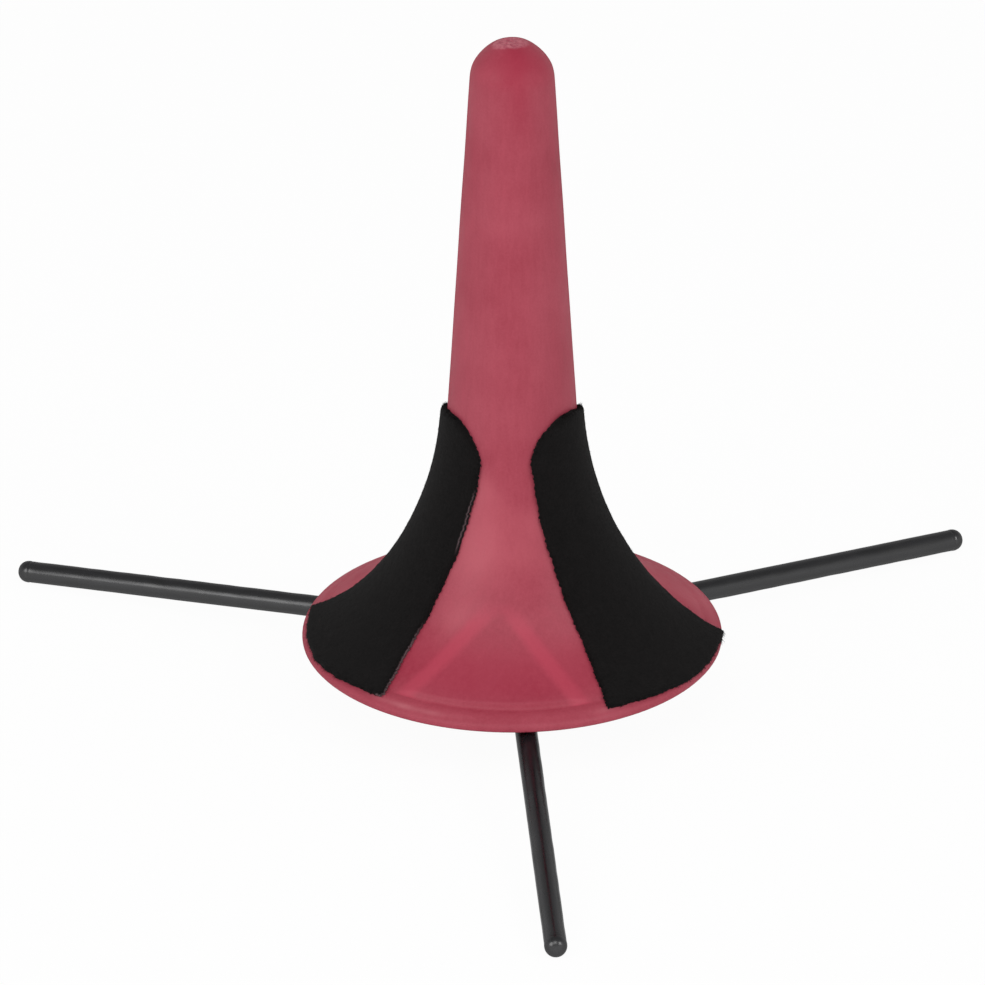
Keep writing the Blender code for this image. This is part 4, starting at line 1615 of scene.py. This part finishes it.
    def build_one(self, place: FeltPlace, felt: bpy.types.Material) -> bpy.types.Object:
        """Builds one pad as an upper and a lower grid joined at the rim, and its nap.

        The upper side's lift is the thickness times the rise, with a fine random unevenness.

        Args:
            place: which pad.
            felt: the finish.

        Returns:
            The pad.
        """
        seed = 40 + 10 * list(FeltPlace).index(place)
        ends = self.ends(place)
        across = np.sin(np.linspace(-1.0, 1.0, self.columns) * math.pi / 2.0)[None, :]
        along = 0.5 - 0.5 * np.cos(np.linspace(0.0, 1.0, self.rows)[:, None] * math.pi)
        sideways, lengths = self.cut(across + 0 * along, along + 0 * across, place, seed)
        plan = np.stack([sideways, lengths], axis=-1)
        rim = np.concatenate([plan[0], plan[1:, -1], plan[-1, -2::-1], plan[-2:0:-1, 0]])
        distance = self.edge_distance(sideways, lengths, rim)
        rise, under = self.rise(distance), self.gap + self.bridging(place.value.bridge, lengths, distance)
        fuzz = np.random.default_rng(seed + 7).normal(0.0, self.unevenness, rise.shape) * (rise - self.edge_share)
        upper = np.concatenate([plan, (under + self.thickness * rise + fuzz)[..., None]], axis=-1)
        lower = np.concatenate([plan, under[..., None]], axis=-1)
        rows, columns = sideways.shape
        sheet = grid_faces(rows, columns, closed=False)
        count = rows * columns
        numbers = np.arange(count).reshape(rows, columns)
        loop = np.concatenate([numbers[0], numbers[1:, -1], numbers[-1, -2::-1], numbers[-2:0:-1, 0]])
        after = np.roll(loop, -1)
        side = np.stack([loop, after, after + count, loop + count], axis=-1)
        quads = np.concatenate([sheet, sheet[:, ::-1] + count, side])
        flat = np.concatenate([upper.reshape(-1, 3), lower.reshape(-1, 3)])
        pale_edge = self.pale_front_edge(sideways, lengths, distance, place).ravel()
        marks = {"cut": flat, "pale_edge": np.concatenate([pale_edge, pale_edge])}
        pad = new_piece(f"felt_{place.name.lower()}", self.lay(flat, place), quads, marks)
        seat_piece(pad, felt, "cone", (place.node,))
        nap = self.build_nap(place, rim, upper.reshape(-1, 3), felt, seed + 8)
        return pad

    def build_nap(
        self, place: FeltPlace, rim: np.ndarray, face: np.ndarray, felt: bpy.types.Material, seed: int
    ) -> bpy.types.Object:
        """Loose fibres: some stick out of the cut edge, and some lie on the face.

        Each is a thin three-sided spike along a curve: root, plus its length times t along its heading, plus
        t squared of a sideways bend. Its rings stand at the fibre places, with the taper's share of the radius.

        Args:
            place: which pad.
            rim: the cut's outline, in the flat.
            face: the upper side's places, in the flat.
            felt: the finish.
            seed: picks the fibres.

        Returns:
            The nap, as one object.
        """
        draw = np.random.default_rng(seed)
        steps = np.roll(rim, -1, axis=0) - rim
        reach = np.linalg.norm(steps, axis=1)
        picked = draw.choice(len(rim), self.rim_fibres, p=reach / reach.sum())
        share = draw.uniform(0.0, 1.0, (self.rim_fibres, 1))
        ways = np.stack([steps[picked, 1], -steps[picked, 0]], axis=-1) / reach[picked, None]
        inset = draw.uniform(*self.rim_insets, (self.rim_fibres, 1)) * MM
        at_rim = rim[picked] + share * steps[picked] - inset * ways
        lift = self.gap + self.thickness * draw.uniform(*self.rim_heights, self.rim_fibres)
        lean = draw.normal(0.0, self.rim_lean, self.rim_fibres)
        rim_headings = np.column_stack(
            [
                ways[:, 0] * np.cos(lean) - ways[:, 1] * np.sin(lean),
                ways[:, 0] * np.sin(lean) + ways[:, 1] * np.cos(lean),
                draw.normal(*self.rim_tilt, self.rim_fibres),
            ]
        )
        on_face = face[draw.integers(0, len(face), self.face_fibres)] - np.array([0.0, 0.0, self.face_sink])
        turn = draw.uniform(0.0, 2.0 * math.pi, self.face_fibres)
        tilt = draw.uniform(*self.face_tilts, self.face_fibres)
        face_headings = np.column_stack([np.cos(turn), np.sin(turn), tilt])
        roots = np.concatenate([np.column_stack([at_rim, lift]), on_face])
        headings = np.concatenate([rim_headings, face_headings])
        lengths = draw.uniform(*self.fibre_lengths, len(roots)) * MM
        bends = draw.normal(0.0, self.fibre_bend, roots.shape) * lengths[:, None]
        t = np.array(self.fibre_places)[None, :, None]
        line = roots[:, None] + t * (headings * lengths[:, None])[:, None] + t**2 * bends[:, None]
        around = np.linspace(0.0, 2.0 * math.pi, self.fibre_sides, endpoint=False)
        first = np.cross(headings, [0.3, 0.5, 0.8])
        first /= np.linalg.norm(first, axis=1)[:, None]
        second = np.cross(headings, first)
        second /= np.linalg.norm(second, axis=1)[:, None]
        ring = np.cos(around)[:, None] * first[:, None] + np.sin(around)[:, None] * second[:, None]
        radii = self.fibre_radius * np.array(self.fibre_taper)[None, :, None, None]
        flat = (line[:, :, None] + radii * ring[:, None]).reshape(-1, 3)
        rings = len(self.fibre_places)
        one = grid_faces(rings, self.fibre_sides, closed=True)
        quads = (one[None] + rings * self.fibre_sides * np.arange(len(roots))[:, None, None]).reshape(-1, 4)
        nap = new_piece(f"felt_nap_{place.name.lower()}", self.lay(flat, place), quads, {"cut": flat})
        seat_piece(nap, felt, "cone", ())
        return nap

    def build(self, felt: bpy.types.Material) -> None:
        """Builds every pad."""
        for place in FeltPlace:
            self.build_one(place, felt)


# The legs and the hub


@dataclass
class LegSleeves:
    """Vinyl sleeves pulled over the leg rods, each with a domed end behind a crease and a slightly lumpy skin."""

    layout: LegLayout
    skin: float = 0.08 * MM
    wall: float = 0.42 * MM
    start: float = 8.5 * MM
    end_thickness: float = 2.0 * MM
    end_fullness: float = 2.25
    cap_radius: float = 1.99 * MM
    cap_length: float = 0.35 * MM
    cap_fade: float = 0.4 * MM
    crease: float = 0.045 * MM
    crease_width: float = 0.16 * MM
    fine_step: float = 0.07 * MM
    fine_reach: float = 1.2 * MM
    coarse_step: float = 0.9 * MM
    coarse_gap: float = 1.5 * MM
    lump: float = 0.018 * MM
    lump_waves: tuple[float, ...] = (8.5 * MM, 5.2 * MM, 13 * MM)
    twist_length: float = 6 * MM
    mouth_round: float = 0.15 * MM
    bore_round: float = 0.1 * MM
    columns: int = 44

    def profile(self) -> np.ndarray:
        """Places along the leg and radii: rounded end, crease, tube, rounded mouth and bore.

        The end is a quarter of a superellipse. The crease behind it is a bell curve, and the cap's radius
        eases to the tube's by a smooth step.

        Returns:
            Places along the leg and radii.
        """
        layout = self.layout
        tube, centre = layout.sleeve_radius + self.skin, layout.pin_to_tip
        angles = np.linspace(0.0, math.pi / 2.0, 24)
        end = np.column_stack(
            [
                centre + layout.tip_radius * np.cos(angles) ** (2.0 / self.end_fullness),
                self.cap_radius * np.sin(angles) ** (2.0 / self.end_fullness),
            ]
        )
        foot = centre - self.cap_length
        back = np.concatenate(
            [
                np.arange(centre - 0.05 * MM, foot - self.fine_reach, -self.fine_step),
                np.arange(foot - self.coarse_gap, self.start + 0.5 * MM, -self.coarse_step),
            ]
        )
        swell = (self.cap_radius - tube) * smooth_step((back - foot + self.cap_fade / 2.0) / self.cap_fade)
        shaft = np.column_stack([back, tube + swell - self.crease * bell(back, foot, self.crease_width)])
        turn = np.linspace(0.0, math.pi, 7)
        bore = layout.sleeve_radius - self.wall
        mouth = np.column_stack(
            [
                self.start + self.mouth_round * (1.0 - np.sin(turn)),
                (tube + bore) / 2.0 + (tube - bore) / 2.0 * np.cos(turn),
            ]
        )
        bore_end = centre + layout.tip_radius - self.end_thickness
        inside = np.array(
            [
                (bore_end / 2.0, bore),
                (bore_end - self.bore_round, bore),
                (bore_end, bore - self.bore_round),
                (bore_end, 0.0),
            ]
        )
        return np.vstack([end, shaft, mouth, inside])

    def build_one(self, place: LegPlace, vinyl: bpy.types.Material) -> bpy.types.Object:
        """Carries the profile round the leg, with radii swollen by slow waves along and round it.

        Args:
            place: which leg.
            vinyl: the finish.

        Returns:
            The sleeve.
        """
        line = self.profile()
        turn = np.linspace(0.0, 2.0 * math.pi, self.columns, endpoint=False)[None, :]
        along, radii = line[:, :1], line[:, 1:]
        phase = 2.1 * place.number
        waves = wander(along, self.lump_waves, place.number) * (0.6 + 0.4 * np.sin(turn + phase))
        lumps = waves + 0.5 * np.sin(2.0 * turn + along / self.twist_length + phase)
        outside = (radii > self.layout.sleeve_radius - self.wall / 2.0) & (along < self.layout.pin_to_tip - MM)
        radii = radii + self.lump * lumps * outside
        side, up = radii * np.cos(turn), radii * np.sin(turn)
        along = along + 0 * turn
        points = self.layout.leg_points(place.azimuth, along, side, up).reshape(-1, 3)
        own = np.stack([along + 0.3 * place.number, side, up], axis=-1).reshape(-1, 3)
        piece = new_piece(
            f"sleeve_{place.name.lower()}", points, grid_faces(*along.shape, closed=True), {"along": own}
        )
        seat_piece(piece, vinyl, f"leg_{place.number}", (f"leg_sleeve_{place.number}",))
        return piece

    def build(self, vinyl: bpy.types.Material) -> None:
        """Builds the three sleeves."""
        for place in LegPlace:
            self.build_one(place, vinyl)


@dataclass
class HubPieces:
    """The hub below and inside the cone: plug, clamp plate, screw, nut, pins, rods, grip ring and socket."""

    layout: LegLayout
    ring_section: float = 0.8 * MM
    ring_height: float = 14.0 * MM
    socket_bore: float = 8.5 * MM
    ring_fit: float = 0.12 * MM
    ring_steps: int = 28
    ring_columns: int = 120

    def build_ring(self, rubber: bpy.types.Material) -> bpy.types.Object:
        """The grip ring: a circle carried round the axis.

        Args:
            rubber: the finish.

        Returns:
            The ring.
        """
        middle = self.socket_bore - self.ring_fit - self.ring_section
        turn = np.linspace(0.0, 2.0 * math.pi, self.ring_steps + 1)
        sections = np.column_stack(
            [middle + self.ring_section * np.cos(turn), self.ring_section * np.sin(turn)]
        )
        centre = (0.0, self.layout.axis_y, self.layout.flange_top + self.ring_height)
        ring = turned_piece("rubber_grip", sections, self.ring_columns, centre)
        seat_piece(ring, rubber, "ring", ("grip_ring",))
        return ring

    def dress(self, black: bpy.types.Material, red: bpy.types.Material, steel: bpy.types.Material) -> None:
        """Gives the CAD nodes that stay their finishes.

        Args:
            black: for the plug and the clamp plate.
            red: for the socket.
            steel: for the screw, nut, rods and pins.
        """
        for name in ("hub_plug", "hub_clamp_plate"):
            dress_node(name, black)
        dress_node("socket_insert", red)
        steel_nodes = ["clamp_screw", "clamp_nut"]
        for place in LegPlace:
            steel_nodes += [f"leg_rod_{place.number}", f"leg_pin_{place.number}"]
        for name in steel_nodes:
            dress_node(name, steel)


# The studio


def larger_of(tree: bpy.types.NodeTree, first: Socket, second: Socket) -> Socket:
    """The larger of two values.

    Args:
        tree: the node tree.
        first: one value.
        second: the other.

    Returns:
        The larger value.
    """
    node = tree.nodes.new("ShaderNodeMath")
    node.operation = "MAXIMUM"
    tree.links.new(first, node.inputs[0])
    tree.links.new(second, node.inputs[1])
    return node.outputs["Value"]


def mixed(tree: bpy.types.NodeTree, share: Socket, low: Socket, high: Socket) -> Socket:
    """Two shaders mixed by a share.

    Args:
        tree: the node tree.
        share: 0 for the low shader, 1 for the high one.
        low: the first shader.
        high: the second.

    Returns:
        The mixed shader.
    """
    node = tree.nodes.new("ShaderNodeMixShader")
    tree.links.new(share, node.inputs["Fac"])
    tree.links.new(low, node.inputs[1])
    tree.links.new(high, node.inputs[2])
    return node.outputs["Shader"]


@dataclass(frozen=True)
class SoftBox:
    """A square soft box aimed at the cone.

    The angle goes round the stand from the front towards the right and the height is above the horizon, both
    in degrees. The distance is from the cone and the size is the side, both in metres. The level is how much
    it adds to the light on a card that faces it.
    """

    name: str
    angle: float
    height: float
    distance: float
    size: float
    level: float

    @property
    def power(self) -> float:
        """Level x pi squared x distance squared, which lights a white card facing the box to the level."""
        return self.level * math.pi**2 * self.distance**2


@dataclass
class Studio:
    """A white floor, soft boxes, a pale room and a camera at the photograph's angle."""

    target: Triple
    distance: float = 1.700
    elevation: float = math.radians(27.30)
    azimuth: float = math.radians(-4.33)
    pitch: float = math.radians(26.442)
    yaw: float = math.radians(0.118)
    lens: float = 347.7
    sensor: float = 36.0
    nearest: float = 0.05
    farthest: float = 20.0
    aim_height: float = 0.04
    floor_half: float = 4.0
    paper: float = 0.9
    paper_white: float = 0.96
    room_level: float = 0.38
    ceiling: float = 0.35
    ceiling_fade: Span = (0.15, 0.75)
    boxes: tuple[SoftBox, ...] = (
        SoftBox("left_box", angle=-54.0, height=29.0, distance=0.95, size=0.52, level=0.31),
        SoftBox("right_box", angle=48.0, height=34.0, distance=1.05, size=0.40, level=0.27),
        SoftBox("top_box", angle=-12.0, height=52.0, distance=1.10, size=0.55, level=0.24),
    )

    def spot(self, angle: float, height: float, distance: float, rise: float) -> Triple:
        """A place seen from the target, or from a point above it, by two angles and a distance.

        Args:
            angle: radians round from the front towards the right.
            height: radians above the horizon.
            distance: metres away.
            rise: metres from the target up to the point.

        Returns:
            The place in the row frame.
        """
        flat = distance * math.cos(height)
        return (
            self.target[0] + flat * math.sin(angle),
            self.target[1] - flat * math.cos(angle),
            self.target[2] + rise + distance * math.sin(height),
        )

    def camera(self) -> bpy.types.Object:
        """Stands the camera at its distance and elevation, tips it down, and then turns it about its own up.

        Returns:
            The camera.
        """
        data = bpy.data.cameras.new("photo_camera")
        data.lens = self.lens
        data.sensor_width = self.sensor
        data.clip_start, data.clip_end = self.nearest, self.farthest
        camera = new_object("photo_camera", data)
        camera.location = self.spot(self.azimuth, self.elevation, self.distance, 0.0)
        turned = Matrix.Rotation(self.azimuth, 3, "Z") @ Matrix.Rotation(math.pi / 2.0 - self.pitch, 3, "X")
        camera.rotation_euler = (turned @ Matrix.Rotation(self.yaw, 3, "Y")).to_euler()
        bpy.context.scene.camera = camera
        return camera

    def soft_box(self, box: SoftBox) -> None:
        """Hangs one soft box and aims it at the cone.

        Args:
            box: where it hangs, its size and its level.
        """
        data = bpy.data.lights.new(box.name, "AREA")
        data.shape = "SQUARE"
        data.size = box.size
        data.energy = box.power
        lamp = new_object(box.name, data)
        angle, height = math.radians(box.angle), math.radians(box.height)
        lamp.location = self.spot(angle, height, box.distance, self.aim_height)
        lamp.rotation_euler = (math.pi / 2.0 - height, 0.0, angle)

    def floor(self) -> None:
        """A wide white floor that shows white to the camera and to gloss, and keeps a faint shadow."""
        half = self.floor_half
        corners = [(-half, -half, 0), (half, -half, 0), (half, half, 0), (-half, half, 0)]
        mesh = bpy.data.meshes.new("studio_floor")
        mesh.from_pydata(corners, [], [(0, 1, 2, 3)])
        mesh.materials.append(self.floor_material())
        new_object("studio_floor", mesh)

    def floor_material(self) -> bpy.types.Material:
        """White paper: part lit surface, part plain white where the camera or gloss looks at it.

        Returns:
            The material.
        """
        material = bpy.data.materials.new("white_paper")
        material.use_nodes = True
        nodes, links = material.node_tree.nodes, material.node_tree.links
        nodes.remove(nodes["Principled BSDF"])
        paper = nodes.new("ShaderNodeBsdfDiffuse")
        paper.inputs["Color"].default_value = (self.paper, self.paper, self.paper, 1.0)
        white = nodes.new("ShaderNodeEmission")
        white.inputs["Strength"].default_value = 1.0
        path = nodes.new("ShaderNodeLightPath")
        seen = larger_of(material.node_tree, path.outputs["Is Camera Ray"], path.outputs["Is Glossy Ray"])
        share = nodes.new("ShaderNodeMath")
        share.operation = "MULTIPLY"
        share.inputs[1].default_value = self.paper_white
        links.new(seen, share.inputs[0])
        mix = mixed(material.node_tree, share.outputs["Value"], paper.outputs["BSDF"], white.outputs["Emission"])
        links.new(mix, nodes["Material Output"].inputs["Surface"])
        return material

    def room(self) -> None:
        """A pale room that lights the stand evenly and shows white to the camera and through glass.

        Gloss sees its white walls and a dimmer ceiling.
        """
        world = bpy.data.worlds.new("studio_room")
        bpy.context.scene.world = world
        world.use_nodes = True
        nodes, links = world.node_tree.nodes, world.node_tree.links
        nodes["Background"].inputs["Strength"].default_value = self.room_level
        nodes["Background"].inputs["Color"].default_value = (1.0, 1.0, 1.0, 1.0)
        path = nodes.new("ShaderNodeLightPath")
        axes = nodes.new("ShaderNodeSeparateXYZ")
        links.new(nodes.new("ShaderNodeTexCoord").outputs["Generated"], axes.inputs[0])
        ceiling = nodes.new("ShaderNodeMapRange")
        for name, value in zip(RANGE_SOCKETS, (*self.ceiling_fade, 1.0, self.ceiling)):
            ceiling.inputs[name].default_value = value
        links.new(axes.outputs["Z"], ceiling.inputs["Value"])
        either = larger_of(world.node_tree, path.outputs["Is Camera Ray"], path.outputs["Is Transmission Ray"])
        surface = nodes["Background"].outputs["Background"]
        for share, strength in ((path.outputs["Is Glossy Ray"], ceiling), (either, None)):
            seen = nodes.new("ShaderNodeBackground")
            seen.inputs["Color"].default_value = (1.0, 1.0, 1.0, 1.0)
            seen.inputs["Strength"].default_value = 1.0
            if strength is not None:
                links.new(strength.outputs["Result"], seen.inputs["Strength"])
            surface = mixed(world.node_tree, share, surface, seen.outputs["Background"])
        links.new(surface, nodes["World Output"].inputs["Surface"])

    def build(self) -> None:
        """Sets up the whole studio."""
        bpy.context.scene.view_settings.view_transform = "Standard"
        self.room()
        self.floor()
        for box in self.boxes:
            self.soft_box(box)
        self.camera()
        log.info("studio set up")


def main() -> None:
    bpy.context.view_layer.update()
    layout, outline = LegLayout(), ConeOutline()
    meridian = Meridian(outline)
    seat = ConeSeat(layout.axis_y, layout.rim_height(outline.rim_radius))
    red = RedPlastic().make()
    inner_red = DullPlastic("inner_red_plastic", (140, 46, 62), (156, 58, 74)).make()
    black = DullPlastic("black_hub_plastic", (26, 26, 28), (38, 38, 40)).make()
    steel, vinyl, rubber = BrightSteel().make(), BlackVinyl().make(), BlackRubber().make()
    ConeShell(outline, meridian, seat).build(red)
    FeltPads(meridian, seat).build(BlackFelt().make())
    LegSleeves(layout).build(vinyl)
    hub = HubPieces(layout)
    hub.build_ring(rubber)
    hub.dress(black, inner_red, steel)
    Studio(target=(0.0, seat.axis_y, seat.rim_z)).build()


if __name__ == "__main__":
    logging.basicConfig(level=logging.INFO, format="%(message)s")
    main()
